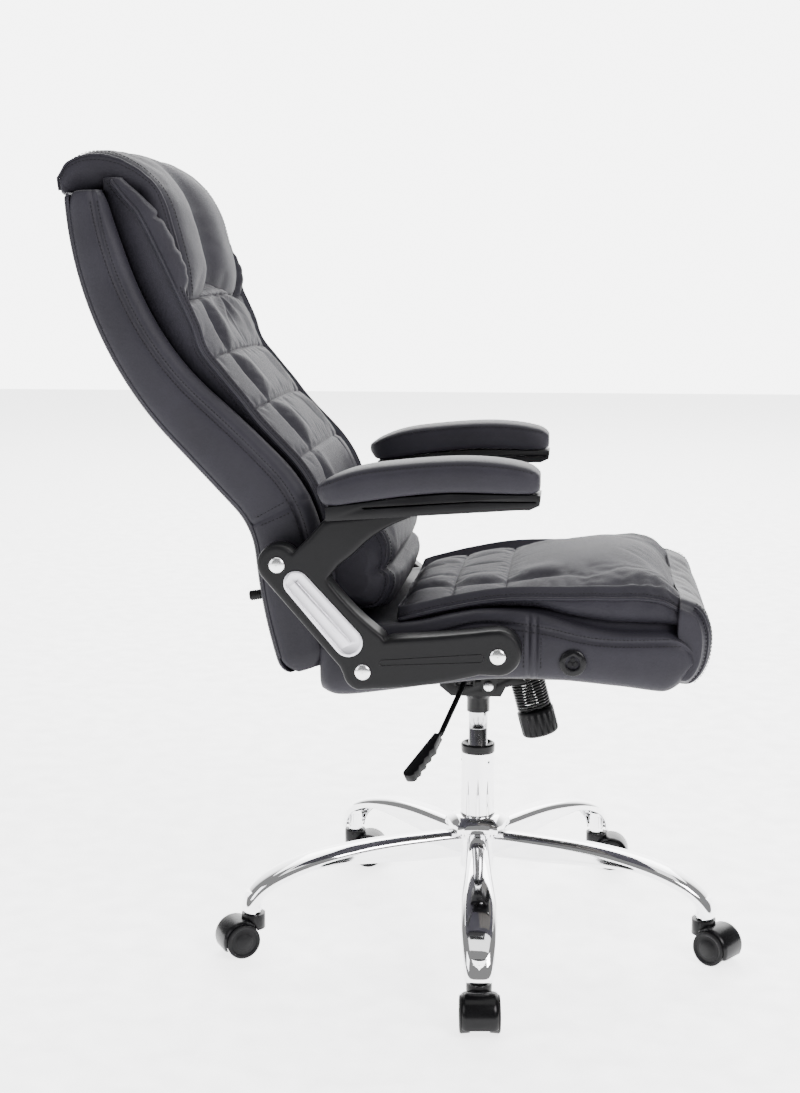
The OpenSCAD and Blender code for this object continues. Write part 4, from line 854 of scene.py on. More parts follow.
def pad_height(x, y):
    """Height of the seat pad's face, with its channels, cells and gathers."""
    edge, crown = pad_edge(x), pad_crown(x)
    across = abs(y) / PAD_HALF
    body = edge + (crown - edge) * (1 - across ** 2.6)
    q = quilt_line(x)
    fade = 1 - smooth_step(108, 168, x)
    d = abs(y) - q
    size = bpy.context.scene.chair_sizes
    rows = max(dent(x - seam, 1.9) for seam in ROW_SEAMS)
    wide_rows = max(dent(x - seam, 15) for seam in ROW_SEAMS)
    cell = abs(math.sin(math.pi * (x - ROW_SEAMS[0]) / (ROW_SEAMS[1] - ROW_SEAMS[0])))
    if x > ROW_SEAMS[1]:
        cell = math.sin(math.pi * min(1.0, (x - ROW_SEAMS[1]) / 84)) if x < ROW_SEAMS[1] + 84 else 0.0
    wobble = 6 * math.sin(x / 17.0) * (1 - cell)
    valley = dent((d + wobble * 0.3) / (1.0 if d > 0 else 1.4), 7.0)
    body -= fade * size.channel * (0.35 + 0.65 * cell) * valley
    body -= 0.3 * size.channel * wide_rows * (0.55 if abs(y) > q else 1.0) + 3.2 * rows
    if d < 0:
        body += fade * size.puff * 0.55 * cell * math.exp(-((d + 26) / 24) ** 2)
    else:
        body += fade * size.puff * 0.2 * cell * math.exp(-((d - 24) / 20) ** 2)
    front = smooth_step(90, 190, x)
    body += front * (1.6 * ripple(x, y, 0, 38) + ripple(x, 2 * y, 5, 17)) * smooth_step(0.35, 0.9, across)
    gathers = smooth_step(-60, 240, x) * smooth_step(0.80, 0.97, across)
    gathers *= 1 - smooth_step(0.97, 1.0, across)
    body += gathers * 2.4 * math.sin(x / 4.6 + 1.5 * math.sin(x / 19.0))
    body += 14 * smooth_step(150, 262, x) * dent(abs(y) - 184, 40)
    return body


def seat_pad_half(x):
    """Outline of the seat pad, from the middle of its underside round to the middle of its face."""
    edge = pad_seam(x)
    low = seat_core(x) + 0.6
    hang = min(low, seat_crest(x) + 1.0)
    full = smooth_step(8, 30, edge - hang)
    tuck = 2.2 * full * math.sin(x / 5.2 + 1.7 * math.sin(x / 23.0)) * smooth_step(150, 230, x)
    end = 1 - 0.05 * (1 - smooth_step(-104, -80, x))
    half = [(0, low), (PAD_HALF * 0.5, low), (PAD_HALF - 40, low), (PAD_HALF - 24, mix(low, hang, 0.6)),
            (mix(PAD_HALF - 13, PAD_HALF - 7, full), mix(hang, edge, 0.1)),
            (mix(PAD_HALF - 8, PAD_HALF + 3, full) + 0.5 * tuck, mix(hang, edge, 0.4)),
            (mix(PAD_HALF - 4, PAD_HALF + 3.5, full) + tuck, mix(hang, edge, 0.75)),
            (PAD_HALF - 0.8, edge - 1.5), (PAD_HALF, edge + 1.5)]
    for y in (219.5, 216, 212, 208, 204, 200):
        half.append((y, max(edge + (PAD_HALF - y) * 1.1 + 2.0, pad_height(x, y)) if y > 204 else
                     max(edge + 5, pad_height(x, y))))
    half += [(y, pad_height(x, y)) for y in steps(5, 195, 5)[::-1]]
    half.append((0, pad_height(x, 0)))
    return [(a * end, b) for a, b in half]


def hollow_of(vertex):
    """How far a vertex lies below its neighbours, in millimetres: more than 0 in a seam or a channel."""
    around = [edge.other_vert(vertex).co for edge in vertex.link_edges]
    return (sum(around, Vector()) / len(around) - vertex.co).dot(vertex.normal) / MM


def settled(piece, cap, sewn_from):
    """Fills a padded piece as cloth, held along its channels and past its end seams.

    The end seams lie sewn_from millimetres from the middle, and no vertex moves by more than cap."""
    scene = bpy.context.scene
    size = scene.chair_sizes
    held = piece.vertex_groups.new(name="seams")
    bm = bmesh.new()
    bm.from_mesh(piece.data)
    for vertex in bm.verts:
        sewn = smooth_step(sewn_from - 8, sewn_from, abs(vertex.co.y) / MM)
        held.add([vertex.index], max(sewn, smooth_step(0.02, 0.2, hollow_of(vertex))), "REPLACE")
    bm.free()
    for modifier in piece.modifiers:
        modifier.show_viewport = False
    cloth = piece.modifiers.new("Filling", "CLOTH")
    cloth.settings.vertex_group_mass = "seams"
    cloth.settings.use_pressure = True
    cloth.settings.uniform_pressure_force = size.pressure
    cloth.settings.effector_weights.gravity = 0.0
    cloth.settings.shrink_min = -0.02
    cloth.collision_settings.use_collision = False
    for number in range(1, size.cloth_frames + 1):
        scene.frame_set(number)
    shaped = piece.evaluated_get(bpy.context.evaluated_depsgraph_get()).data
    moves = [b.co - a.co for a, b in zip(piece.data.vertices, shaped.vertices)]
    piece.modifiers.remove(cloth)
    piece.vertex_groups.remove(held)
    scene.frame_set(1)
    for vertex, move in zip(piece.data.vertices, moves):
        vertex.co += move * cap * MM / (cap * MM + move.length)
    for modifier in piece.modifiers:
        modifier.show_viewport = True


ROLL_MIDDLE = ((-8, 4), (15, 4), (38, 24), (47, 50), (39, 75), (20, 94), (-8, 108))
ROLL_LOBES = ((-8, 0), (14, 0), (32, 22), (39, 55), (36, 84), (23, 106), (-8, 119))


def front_ring(t, proud=0.0):
    """Section of the seat's front roll at a share t of its half width."""
    share = smooth_step(0.1, 0.85, abs(t))
    inset = 0.3 * smooth_step(0.9, 1.0, abs(t)) + 0.05 * dent(abs(t) - 0.935, 0.012)
    outline = []
    for (x0, z0), (x1, z1) in zip(ROLL_MIDDLE, ROLL_LOBES):
        x, z = mix(x0, x1, share), mix(z0, z1, share)
        outline.append((-8 + (x + 8) * (1 - inset) + proud, z + (52 - z) * 0.6 * inset))
    ring = []
    for k, (x, z) in enumerate(curve_through(outline, 28)):
        gather = 0.9 * math.sin(t * 240 + 2 * math.sin(t * 37)) * smooth_step(20, 28, k) if x > 1 else 0
        ring.append(upper_point(SEAT_FRONT + 0.3 + x + gather, t * (SEAT_HALF - 9), z))
    return ring


def ring_over_seat(x, half):
    return [upper_point(x, a, b) for a, b in both(half)]


class CHAIR_OT_seat(bpy.types.Operator):
    """Upholster the seat: side boxing, quilted pad, front roll, piping, stitches and the inlet"""

    bl_idname = "chair.seat"
    bl_label = "Seat"

    def execute(self, context):
        stations = sorted(steps(-204, 256, 6) + [77, 79, 81, 83, 86, 89, 91, 93, 95]
                          + [262, 268, 274, 279, 284, 288, 292, 295, 297.5, 299])
        soft_cover("seat_boxing", [ring_over_seat(x, seat_side_half(x)) for x in stations],
                   "side_leather", "seat_cushion")
        stations = sorted(steps(-100, 262, 4) + [266, 270, 274, 277, 279.5, 281.5]
                          + [seam + off for seam in ROW_SEAMS for off in (-3.1, -1.6, 0.05, 1.6, 3.1)])
        soft_cover("seat_quilt", [ring_over_seat(x, seat_pad_half(x)) for x in stations],
                   "quilt_leather", "seat_pad", (3.0, 200))
        ends = [1, 0.985, 0.965, 0.95, 0.935, 0.92, 0.9, 0.87]
        shares = ends + steps(-0.84, 0.84, 0.04)[::-1] + [-t for t in ends[::-1]]
        soft_cover("seat_front", [front_ring(t) for t in shares],
                   "side_leather", "seat_front_roll", (3.0, 212))

        piping, thread = bmesh.new(), bmesh.new()
        for side in (-1, 1):
            outwards = Vector((0, side, 0))
            line = [upper_point(x, side * (PAD_HALF + 0.6), pad_seam(x)) for x in steps(-96, 279, 5)]
            tube(piping, line, context.scene.chair_sizes.piping * MM)
            for rise, out in ((6.5, -2.2), (-7.0, -4.0)):
                path = [p + Vector((0, side * out, rise)) * MM for p in line]
                stitch_row(thread, path, Vector((0, side, 0.6)).normalized())
            for rise, out in ((4.6, -2.2), (-4.6, -1.9)):
                path = [upper_point(x, side * (SEAT_HALF + out), seat_seam(x) + rise)
                        for x in steps(-198, 283, 5)]
                stitch_row(thread, path, outwards)
            for x in (74.5, 97.5):
                path = [upper_point(x, side * (SEAT_HALF - 0.9), z)
                        for z in steps(skirt_low(x) + 20, seat_seam(x) - 9, 5)]
                stitch_row(thread, path, outwards)
            tube(piping, front_ring(side * 0.935, 0.8)[3:25], 1.7 * MM)
            for t in (0.91, 0.958):
                path = front_ring(side * t, 0.3)[4:25]
                middle = upper_point(SEAT_FRONT, side * t * (SEAT_HALF - 9), 52)
                stitch_row(thread, path, away_from(middle, path))
        finished(piping, "seat_piping", "seat", finish_of("piping"))
        finished(thread, "seat_stitches", "seat", finish_of("thread"))

        dressed("side_inlet", finish_of("smooth_plastic"), bevel=0.4)
        spots = [v.co for v in frame["nodes"]["side_inlet"].data.vertices]
        low, high = ([pick(p[k] for p in spots) for k in range(3)] for pick in (min, max))
        bm = bmesh.new()
        for k in range(3):
            a = math.radians(90 + 120 * k)
            spot = Vector(((low[0] + high[0]) / 2 + 3.4 * MM * math.cos(a), low[1] + 4.2 * MM,
                           (low[2] + high[2]) / 2 + 3.4 * MM * math.sin(a)))
            rod(bm, 24, 3.6, 5, Matrix.Translation(spot) @ turned(90, "X"))
        finished(bm, "inlet_socket", "seat", finish_of("rubber"), sharp=40)
        return {"FINISHED"}


# Back: s runs up it, and each table gives a distance from its rear face

def side_seam(s):
    return flowing(s, [(0, 72), (250, 75), (450, 62), (715, 45)])


def roll_front(s):
    return flowing(s, [(0, 98), (250, 97), (430, 84), (620, 72), (715, 58)])


def back_edge(s):
    return flowing(s, [(78, 98), (110, 102), (169, 101), (204, 104), (285, 104), (328, 108), (376, 110),
                       (423, 110), (465, 118), (515, 120), (575, 117), (633, 108), (679, 95), (700, 82),
                       (735, 60)])


def back_crown(s):
    return flowing(s, [(78, 101), (110, 106), (170, 106), (214, 122), (300, 126), (403, 130), (510, 132)])


def back_ridge(s):
    return flowing(s, [(510, 127), (556, 138), (603, 137), (674, 120), (700, 104), (735, 74)])


def back_side_half(s):
    """Outline of the back's boxing, from the middle of its rear face round to the middle of its front."""
    seam, front = side_seam(s), roll_front(s)
    w = BACK_HALF - 2.2 * dent(s - 192, 2.2) - 0.7 * ripple(s, 9, 1, 60)
    tight = lookup(s, [(-22, 0.36), (-12, 0.76), (0, 1), (692, 1), (704, 0.93), (712, 0.8), (717, 0.62)])
    half = [(0, 9.4), (w * 0.5, 9.4), (w - 30, 9.4), (w - 12, 9.4), (w - 5, 9.8), (w - 1, 14),
            (w, mix(20, seam, 0.35)), (w, mix(20, seam, 0.7)), (w - 0.8, seam - 7), (w - 2, seam - 3),
            (w - 5, seam), (w - 1.8, seam + 3), (w - 0.6, seam + 8), (w - 2.5, mix(seam, front, 0.6)),
            (w - 8, front - 1.5), (w - 16, front + 0.5), (w - 24, front - 1), (w - 31, front - 6),
            (w - 38, front - 12), (w - 60, front - 12), (w * 0.5, front - 12), (0, front - 12)]
    return [(max(0.0, a - (1 - tight) * 8), mix(38, b, tight)) for a, b in half]


FOLD_S = 528.0  # where the folds under the pillow spread from


def quilt_depth(s, y):
    """Distance of the back quilt's face from the back's rear face."""
    edge, crown = back_edge(s), back_crown(s)
    size = bpy.context.scene.chair_sizes
    away = abs(y)
    body = edge + (max(edge + 3, crown) - edge) * (1 - (away / QUILT_HALF) ** 2.6)
    d = away - BACK_SEAM_Y
    cell = 0.0
    marks = [BACK_ROWS[0] - 84] + BACK_ROWS + [BACK_ROWS[-1] + 96]
    for a, b in zip(marks, marks[1:]):
        if a <= s <= b:
            cell = math.sin(math.pi * (s - a) / (b - a))
    row = max(dent(s - r, 1.9) for r in BACK_ROWS)
    wide = max(dent(s - r, 15) for r in BACK_ROWS)
    body -= 0.32 * size.channel * wide * (1.0 if d < 0 else 0.5) + 3.4 * row
    valley = dent(d / (1.0 if d > 0 else 1.5), 6.5)
    body -= size.channel * (0.4 + 0.75 * cell) * valley
    if d < 0:
        body += size.puff * 0.8 * cell * math.exp(-((d + 26) / 22) ** 2)
    body += size.puff * 0.25 * cell * math.exp(-((away - 188) / 12) ** 2)
    gathers = smooth_step(176, 200, away)
    body += gathers * 1.2 * math.sin(s / 4.2 + 1.4 * math.sin(s / 23.0))
    far = math.hypot(away, s - FOLD_S)
    fold = math.sin(8.0 * math.atan2(FOLD_S - s, away + 4) + 0.8)
    return body + 3.4 * fold * math.exp(-((far - 46) / 34) ** 2) * smooth_step(FOLD_S + 30, FOLD_S - 10, s)


def ear_depth(s, y):
    """Depth of the back quilt's face beside the pillow: a thick rolled ear and the hollow for the pillow."""
    away = abs(y)
    ridge = back_ridge(s)
    floor = min(85.0, back_edge(s) - 8)
    roll = flowing(away, [(116, 0), (150, 0.02), (160, 0.08), (168, 0.28), (176, 0.72), (184, 0.98),
                          (192, 1.0), (199, 0.95), (206, 0.8)])
    depth = mix(floor, ridge, max(0.0, roll))
    crease = 0.8 * math.sin(s / 5.5 + 2.1 * math.sin(s / 31.0) + away / 16.0) + 1.6 * ripple(s, y, 2, 26)
    crease -= 6.0 * dent(s - 668 + 0.2 * (away - 190), 4.5)
    return depth + crease * smooth_step(166, 182, away) * (1 - smooth_step(200, 206, away))


def back_face(s, y):
    """Distance of the back quilt's face from the rear face, with the pillow's bed mixed in above."""
    bed = smooth_step(505, 566, s + 0.16 * (abs(y) - 120))
    return mix(quilt_depth(s, y), ear_depth(s, y), bed)


def back_quilt_half(s):
    """Outline of the back's quilt, from the middle of its rear round to the middle of its face."""
    edge = back_edge(s)
    low = roll_front(s) - 11.5
    half = [(0, low), (QUILT_HALF * 0.5, low), (QUILT_HALF - 40, low), (QUILT_HALF - 14, low),
            (QUILT_HALF - 6, mix(low, edge, 0.4)), (QUILT_HALF - 2, mix(low, edge, 0.75)),
            (QUILT_HALF - 0.6, edge - 1.5), (QUILT_HALF, edge + 1.5)]
    for y in (204, 201.5, 199):
        half.append((y, max(edge + (QUILT_HALF - y) * 1.3 + 2, back_face(s, y))))
    half += [(y, back_face(s, y)) for y in steps(4, 195, 4)[::-1]]
    half.append((0, back_face(s, 0)))
    return half


def ring_round_back(s, half):
    return [back_point(s, b, a) for a, b in both(half)]


PILLOW = (((712, -12), (716, 6), 1.0), ((738, -15), (713, 4), 1.0), ((763, 0), (712, 8), 1.0),
          ((777, 24), (712, 16), 0.97), ((780, 50), (712, 34), 0.94), ((771, 77), (714, 52), 0.91),
          ((752, 101), (712, 68), 0.89), ((724, 121), (708, 84), 0.88), ((688, 134), (684, 86), 0.88),
          ((645, 140), (645, 86), 0.88), ((605, 141), (605, 88), 0.88), ((572, 138), (572, 90), 0.87),
          ((545, 130), (548, 92), 0.84), ((524, 116), (534, 98), 0.76))
PILLOW_HALF = 198.0


def pillow_point(at, a, b):
    """Point of the head pillow: at along its sections, a across from -1 to 1, b from inside to outside."""
    def table(pick):
        return flowing(at, [(i, pick(p)) for i, p in enumerate(PILLOW)])
    y = PILLOW_HALF * table(lambda p: p[2]) * a
    s = mix(table(lambda p: p[1][0]), table(lambda p: p[0][0]), b)
    n = mix(table(lambda p: p[1][1]), table(lambda p: p[0][1]), b)
    front = smooth_step(3.5, 8.0, at)
    n -= (22 * dent(y, 34 + 10 * front) - 3) * front * b
    s -= 12 * front * smooth_step(9, 13, at) * smooth_step(20, 150, abs(y))
    end = smooth_step(0.72, 0.96, abs(a))
    pucker = 2.0 * math.sin(at * 9.0 + 2.0 * math.sin(at * 1.7)) * end
    seam = -2.6 * dent(abs(a) - 0.955, 0.014) * smooth_step(0.45, 0.8, b)
    soft = 1.8 * ripple(s, y, n, 60)
    return s, n + (pucker * (1 - front) * 0.6 + soft + seam) * b, y


def pillow_ring(t, count=72):
    """Section across the head pillow at a share t of its length."""
    profile = [(0.0, 0.0), (0.5, 0.0), (0.86, 0.02), (0.95, 0.12), (0.985, 0.3), (1.0, 0.5), (0.99, 0.66),
               (0.97, 0.78), (0.93, 0.88), (0.85, 0.95), (0.7, 0.985), (0.45, 1.0), (0.2, 1.0), (0.0, 1.0)]
    outline = curve_through(profile, count // 2)
    outline += [(-a, b) for a, b in reversed(outline[1:-1])]
    return [back_point(*pillow_point(t * (len(PILLOW) - 1), a, min(1.0, max(0.0, b)))) for a, b in outline]


LUMBAR_FACE = (84, 110, 140, 162)
LUMBAR = ((-140, 80.5), (-119, 85), (-107, 99), (-99, 119), (-100, 136), (-112, 145), (-105, 158),
          (-103, 174), (-106, 192), (-117, 210), (-137, 222), (-160, 222))
LUMBAR_X, LUMBAR_Z = -178, 136  # what the roll's ends are drawn in to
LUMBAR_LOW, LUMBAR_LONG = 80.5, 205  # height of its underside, and half its length


def lumbar_ring(t):
    """Section of the lumbar roll at a share t of its half length."""
    back = []
    for s in LUMBAR_FACE:
        p = back_point(s, back_crown(s) + 0.3, 0)
        back.append((p.x / MM, p.z / MM - BOARD_Z))
    outline = [(back[0][0] + 2, 82.5)] + list(LUMBAR) + [(back[-1][0] + 1, 208)]
    size = lookup(abs(t), [(0, 1), (0.7, 0.97), (0.87, 0.88), (0.96, 0.7), (1, 0.52)])
    curve = curve_through(outline, 40) + back[::-1]
    ring = []
    for i, (x, z) in enumerate(curve):
        px, pz = mix(LUMBAR_X, x, size), mix(LUMBAR_Z, z, size)
        if x < -170:
            px = min(px, x)
        bump = 1.0 + 0.03 * math.sin(t * 60 + i / 6.0) * smooth_step(0.7, 0.95, abs(t))
        ring.append(upper_point(mix(LUMBAR_X, px, bump), t * LUMBAR_LONG, max(pz, LUMBAR_LOW)))
    return ring


class CHAIR_OT_back(bpy.types.Operator):
    """Upholster the back: rear cover, boxing, quilted face, piping and stitches"""

    bl_idname = "chair.back"
    bl_label = "Back"

    def execute(self, context):
        rings = []
        for s in [-19, -17, -13, -7, 0] + steps(6, 712, 8):
            w = BACK_HALF
            bulge = 1.2 * ripple(s, 0, 4, 90)
            wrap = lookup(s, [(-19, 14), (-17, 9), (-13, 4.5), (-7, 1.4), (0, 0)])
            rings.append(ring_round_back(s, [(a, b + wrap) for a, b in (
                (0, -0.4 + bulge * 0.3), (w * 0.4, 0.2), (w * 0.75, 0.4), (w - 22, 1.2),
                (w - 12, 2.6), (w - 7, 5), (w - 5.5, 8), (w - 6.5, 9.8), (w - 30, 10),
                (w * 0.5, 10), (0, 10))]))
        soft_cover("rear_cover", rings, "rear_vinyl", "back_cover")
        stations = sorted([-22, -19, -15, -10, -4] + steps(2, 700, 7) + [705, 709, 713, 717]
                          + [188.4, 190.2, 192, 193.8, 195.6])
        soft_cover("back_boxing", [ring_round_back(s, back_side_half(s)) for s in stations],
                   "side_leather", "back_cushion")
        stations = sorted(steps(78, 700, 4) + [704, 709, 714, 719, 724, 729, 733, 735]
                          + [r + off for r in BACK_ROWS for off in (-3.1, -1.6, 0.05, 1.6, 3.1)])
        soft_cover("back_quilt", [ring_round_back(s, back_quilt_half(s)) for s in stations],
                   "quilt_leather", "back_pad", (3.0, 190))

        piping, thread = bmesh.new(), bmesh.new()
        for side in (-1, 1):
            outwards = Vector((0, side, 0))
            line = [back_point(s, back_edge(s), side * (QUILT_HALF + 0.6)) for s in steps(80, 730, 6)]
            tube(piping, line, context.scene.chair_sizes.piping * MM)
            for rise, out in ((7.0, -3.0), (-8.0, -2.4)):
                path = [back_point(s, back_edge(s) + rise, side * (QUILT_HALF + out))
                        for s in steps(82, 728, 6)]
                stitch_row(thread, path, Vector((0, side, 0.1)))
            for rise in (4.6, -4.6):
                path = [back_point(s, side_seam(s) + rise, side * (BACK_HALF - 1.6))
                        for s in steps(2, 700, 6)]
                stitch_row(thread, path, outwards)
            for s in (187, 197):
                path = [back_point(s, n, side * (BACK_HALF - 0.7)) for n in steps(22, side_seam(s) - 9, 5)]
                stitch_row(thread, path, outwards)
            tube(piping, [back_point(s, 9.9, side * (BACK_HALF - 5.2)) for s in steps(6, 712, 8)], 1.8 * MM)
        finished(piping, "back_piping", "seat", finish_of("piping"))
        finished(thread, "back_stitches", "seat", finish_of("thread"))
        dressed("rear_gland", finish_of("black_plastic"), bevel=0.2)
        return {"FINISHED"}


class CHAIR_OT_pillow(bpy.types.Operator):
    """Make the head pillow and the lumbar roll"""

    bl_idname = "chair.pillow"
    bl_label = "Pillow and lumbar roll"

    def execute(self, context):
        soft_cover("head_pillow_cover", [pillow_ring(t) for t in steps(0.0, 1.0, 0.018)[::-1]],
                   "quilt_leather", "head_pillow", (4.0, 158))
        ends = [1, 0.99, 0.975, 0.96, 0.94, 0.915, 0.89, 0.86, 0.83]
        shares = ends + steps(-0.8, 0.8, 0.05)[::-1] + [-t for t in ends[::-1]]
        soft_cover("lumbar_cover", [lumbar_ring(t) for t in shares],
                   "quilt_leather", "lumbar_roll", (3.0, 172))

        piping, thread = bmesh.new(), bmesh.new()
        for side in (-1, 1):
            seam = [back_point(*pillow_point(at, side * 0.955, 0.83)) for at in steps(0.3, 12.8, 0.25)]
            tube(piping, seam, 1.9 * MM)
            tube(piping, lumbar_ring(side * 0.9)[3:39], 1.7 * MM)
            for a, b in ((0.9, 0.925), (0.98, 0.72)):
                path = [back_point(*pillow_point(at, side * a, b)) for at in steps(0.4, 12.6, 0.25)]
                stitch_row(thread, path, away_from(back_point(640, 75, side * 150), path))
            for t in (0.87, 0.93):
                path = lumbar_ring(side * t)[4:38]
                stitch_row(thread, path, away_from(upper_point(-150, side * t * LUMBAR_LONG, LUMBAR_Z), path))
        finished(piping, "pillow_piping", "seat", finish_of("piping"))
        finished(thread, "pillow_stitches", "seat", finish_of("thread"))
        return {"FINISHED"}


# Arms

ARM_TOP = ((0, -20), (0.06, -8), (0.19, 6), (0.37, 14), (0.64, 20), (0.82, 18), (0.95, 11), (0.99, 4), (1, 0))
ARM_LOW = ((0, -30), (0.04, -43), (0.19, -38), (0.37, -30), (0.6, -23.5), (0.97, -24), (1, -20))
ARM_HALF = ((0, 0.34), (0.02, 0.62), (0.06, 0.83), (0.12, 0.94), (0.25, 1), (0.9, 1), (0.96, 0.93),
            (0.99, 0.8), (1, 0.66))
ARM_SIDE = ((1.01, 0.3), (1.01, 0.55), (0.99, 0.7), (0.955, 0.76), (0.965, 0.81), (0.93, 0.89), (0.82, 0.96))
ARM_PAD_X, ARM_PAD_Y, ARM_PAD_Z = -195, 283, 289.8  # rear end, middle line and height of an arm pad
ARM_PAD_LENGTH, ARM_PAD_HALF = 290, 37
ARM_EDGES = ((8, 247), (3, 247), (1.1, 247.6), (0.2, 249.2), (0, 252), (0, 279), (0.5, 282.3), (1.8, 284.5),
             (3.8, 285.6), (6, 286), (9, 286))  # how far an arm frame is drawn in, and how far out that is
BOLT_A, BOLT_B, BOLT_C = (42.0, 47.0), (-137.0, 22.0), (-251.0, 164.0)
STRUT = math.hypot(BOLT_B[0] - BOLT_C[0], BOLT_B[1] - BOLT_C[1])
ARM_TIP = 178.0


def beside(point, x, z):
    return point[0] + x, point[1] + z


def arc(middle, radius, low, high, count):
    """Points of an arc from one angle to another, in degrees."""
    turns = [math.radians(mix(low, high, i / count)) for i in range(count + 1)]
    return [beside(middle, radius * math.cos(a), radius * math.sin(a)) for a in turns]


def bow(a, b, sag, count):
    """Points of a shallow bow from a to b."""
    length = math.hypot(b[0] - a[0], b[1] - a[1])
    side = ((a[1] - b[1]) / length, (b[0] - a[0]) / length)
    shares = [i / count for i in range(count + 1)]
    return [tuple(mix(a[k], b[k], t) + 4 * sag * t * (1 - t) * side[k] for k in (0, 1)) for t in shares]


def by_strut(along, out):
    """Point along the rear strut, from the upper bolt, and out from its middle line."""
    ux, uz = (BOLT_B[0] - BOLT_C[0]) / STRUT, (BOLT_B[1] - BOLT_C[1]) / STRUT
    return BOLT_C[0] + along * ux - out * uz, BOLT_C[1] + along * uz + out * ux


def arm_outline():
    """Side outline of an arm, from the upper bolt down the strut, along the foot and up under the pad."""
    reach = [beside(BOLT_C, *p) for p in ((82, 0), (102, 16), (120, 33), (139, 47), (159, 58), (ARM_TIP, 66))]
    heel = [beside(BOLT_C, *p) for p in ((ARM_TIP, 70.5), (70, 63), (60, 58), (41, 36))]
    return (arc(BOLT_C, 27, 38, 218, 28) + [by_strut(STRUT - 24, -21)]
            + arc(beside(BOLT_B, -2, -1), 25, 190, 262, 12)
            + bow(beside(BOLT_B, 12, -24), beside(BOLT_A, -24, -26.5), -4, 10)
            + arc(beside(BOLT_A, 0, 4), 31, -86, 88, 26)
            + bow(beside(BOLT_A, -12, 34), beside(BOLT_B, 36, 46), 1.5, 8)
            + [by_strut(STRUT - 15, 50)] + bow(by_strut(STRUT - 22, 52), by_strut(56, 41), 4, 10)
            + curve_through(reach, 15) + heel)


def drawn_in(outline, depth):
    """The arm's outline moved inwards, less so where it thins towards its tip."""
    ring = []
    for i, (x, z) in enumerate(outline):
        after = outline[(i + 1) % len(outline)]
        before = outline[i - 1]
        a = Vector((x - before[0], z - before[1])).normalized()
        b = Vector((after[0] - x, after[1] - z)).normalized()
        way = (a + b).normalized()
        thin = min(1.0, max(0.0, (x - BOLT_C[0] - ARM_TIP + 66) / 66)) if z > BOLT_C[1] + 45 else 0.0
        move = depth * (1 - 0.75 * thin)
        ring.append((x - move * way.y, z + move * way.x))
    return ring


def arm_shell(side, hand):
    """Moulded arm frame with soft edges, its boss at the back and the raised line along its foot."""
    outline = arm_outline()
    bm = bmesh.new()
    loft(bm, [[upper_point(x, side * out, z) for x, z in drawn_in(outline, depth)]
              for depth, out in ARM_EDGES])
    boss = Matrix.Translation(upper_point(BOLT_C[0], side * 241.6, BOLT_C[1]))
    rod(bm, 40, 20, 12.5, boss @ turned(90, "X"))
    finished(bm, f"arm_shell_{hand}", "seat", finish_of("black_plastic"),
             (f"arm_frame_{hand}",), sharp=50)
    bm = bmesh.new()
    low, high = beside(BOLT_B, 26, 13), beside(BOLT_A, -24, -3)
    turn = math.degrees(math.atan2(high[1] - low[1], high[0] - low[0]))
    line = arc(high, 5.4, turn - 90, turn + 90, 12) + arc(low, 3.6, turn + 90, turn + 270, 12)
    tube(bm, [upper_point(x, side * ARM_EDGES[-1][1], z) for x, z in line], 0.8 * MM, closed=True)
    finished(bm, f"arm_bead_{hand}", "seat", finish_of("smooth_plastic"))


def arm_pad_section(t):
    """Half width, upper and lower height of an arm pad at a share t of its length."""
    top, low = (ARM_PAD_Z + flowing(t, table) for table in (ARM_TOP, ARM_LOW))
    return ARM_PAD_HALF * flowing(t, ARM_HALF), top, low


def arm_pad_point(side, t, across, height):
    return upper_point(ARM_PAD_X + t * ARM_PAD_LENGTH, side * ARM_PAD_Y + across, height)


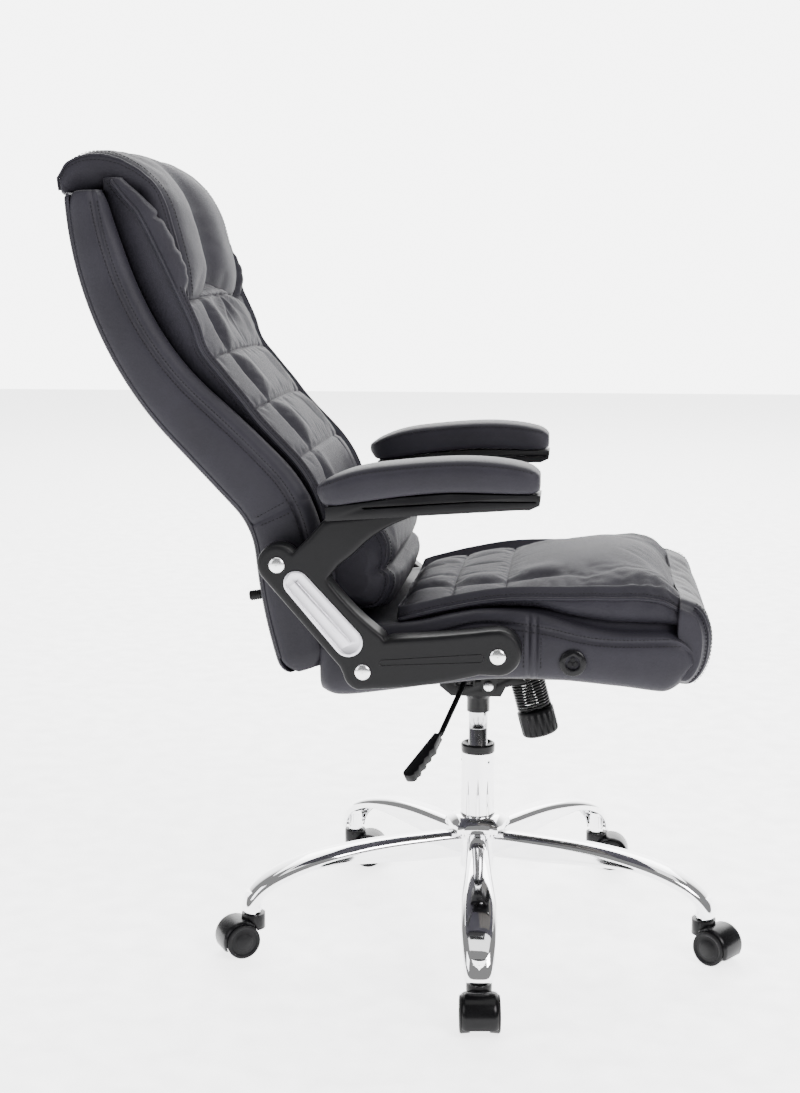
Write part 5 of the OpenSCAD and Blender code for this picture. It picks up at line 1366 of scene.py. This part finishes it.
class CHAIR_OT_arms(bpy.types.Operator):
    """Finish the arms: moulded frames, silver inserts, bolt caps and padded tops"""

    bl_idname = "chair.arms"
    bl_label = "Arms"

    def execute(self, context):
        for side, hand in ((-1, "r"), (1, "l")):
            arm_shell(side, hand)
            dressed(f"arm_plate_{hand}", finish_of("black_plastic"), bevel=2.0)
            dressed(f"arm_insert_{hand}", finish_of("silver"), bevel=0.5)
            rings = []
            for t in [0, 0.006, 0.015, 0.03] + steps(0.05, 0.94, 0.03) + [0.96, 0.975, 0.988, 0.996, 1]:
                w, top, low = arm_pad_section(t)
                half = [(0, low), (0.5 * w, low), (0.85 * w, low + 0.4), (0.97 * w, low + 2.5)]
                half += [(a * w, mix(low, top, b)) for a, b in ARM_SIDE]
                half += [(0.6 * w, top), (0.3 * w, top + 0.9), (0, top + 1.2)]
                rings.append([arm_pad_point(side, t, a, b) for a, b in both(half)])
            soft_cover(f"arm_pad_cover_{hand}", rings, "side_leather", f"arm_pad_{hand}")
            thread = bmesh.new()
            for edge in (-1, 1):
                path = []
                for t in steps(0.03, 0.97, 0.02):
                    w, top, low = arm_pad_section(t)
                    path.append(arm_pad_point(side, t, edge * 0.955 * w, mix(low, top, 0.83)))
                stitch_row(thread, path, Vector((0, edge, 0.45)).normalized())
            finished(thread, f"arm_stitches_{hand}", "seat", finish_of("thread"))
        dressed("bolt_caps", finish_of("cap_metal"))
        return {"FINISHED"}


class CHAIR_PT_panel(bpy.types.Panel):
    """Lists the steps that dress the chair"""

    bl_label = "Chair"
    bl_idname = "CHAIR_PT_panel"
    bl_space_type = "VIEW_3D"
    bl_region_type = "UI"
    bl_category = "Chair"

    def draw(self, context):
        for group in (context.scene.chair_sizes, context.scene.chair_colours):
            for key in group.bl_rna.properties.keys():
                if key not in ("rna_type", "name"):
                    self.layout.prop(group, key)
        for step in STEPS:
            self.layout.operator(step.bl_idname)


STEPS = (CHAIR_OT_stage, CHAIR_OT_base, CHAIR_OT_casters, CHAIR_OT_column, CHAIR_OT_mechanism, CHAIR_OT_seat,
         CHAIR_OT_back, CHAIR_OT_pillow, CHAIR_OT_arms)
CLASSES = (ChairSizes, ChairColours, *STEPS, CHAIR_PT_panel)


def register():
    for cls in CLASSES:
        bpy.utils.register_class(cls)
    bpy.types.Scene.chair_sizes = PointerProperty(type=ChairSizes)
    bpy.types.Scene.chair_colours = PointerProperty(type=ChairColours)


def unregister():
    del bpy.types.Scene.chair_sizes
    del bpy.types.Scene.chair_colours
    for cls in reversed(CLASSES):
        bpy.utils.unregister_class(cls)


def main():
    register()
    for step in STEPS:
        group, name = step.bl_idname.split(".")
        getattr(getattr(bpy.ops, group), name)()


if __name__ == "__main__":
    main()
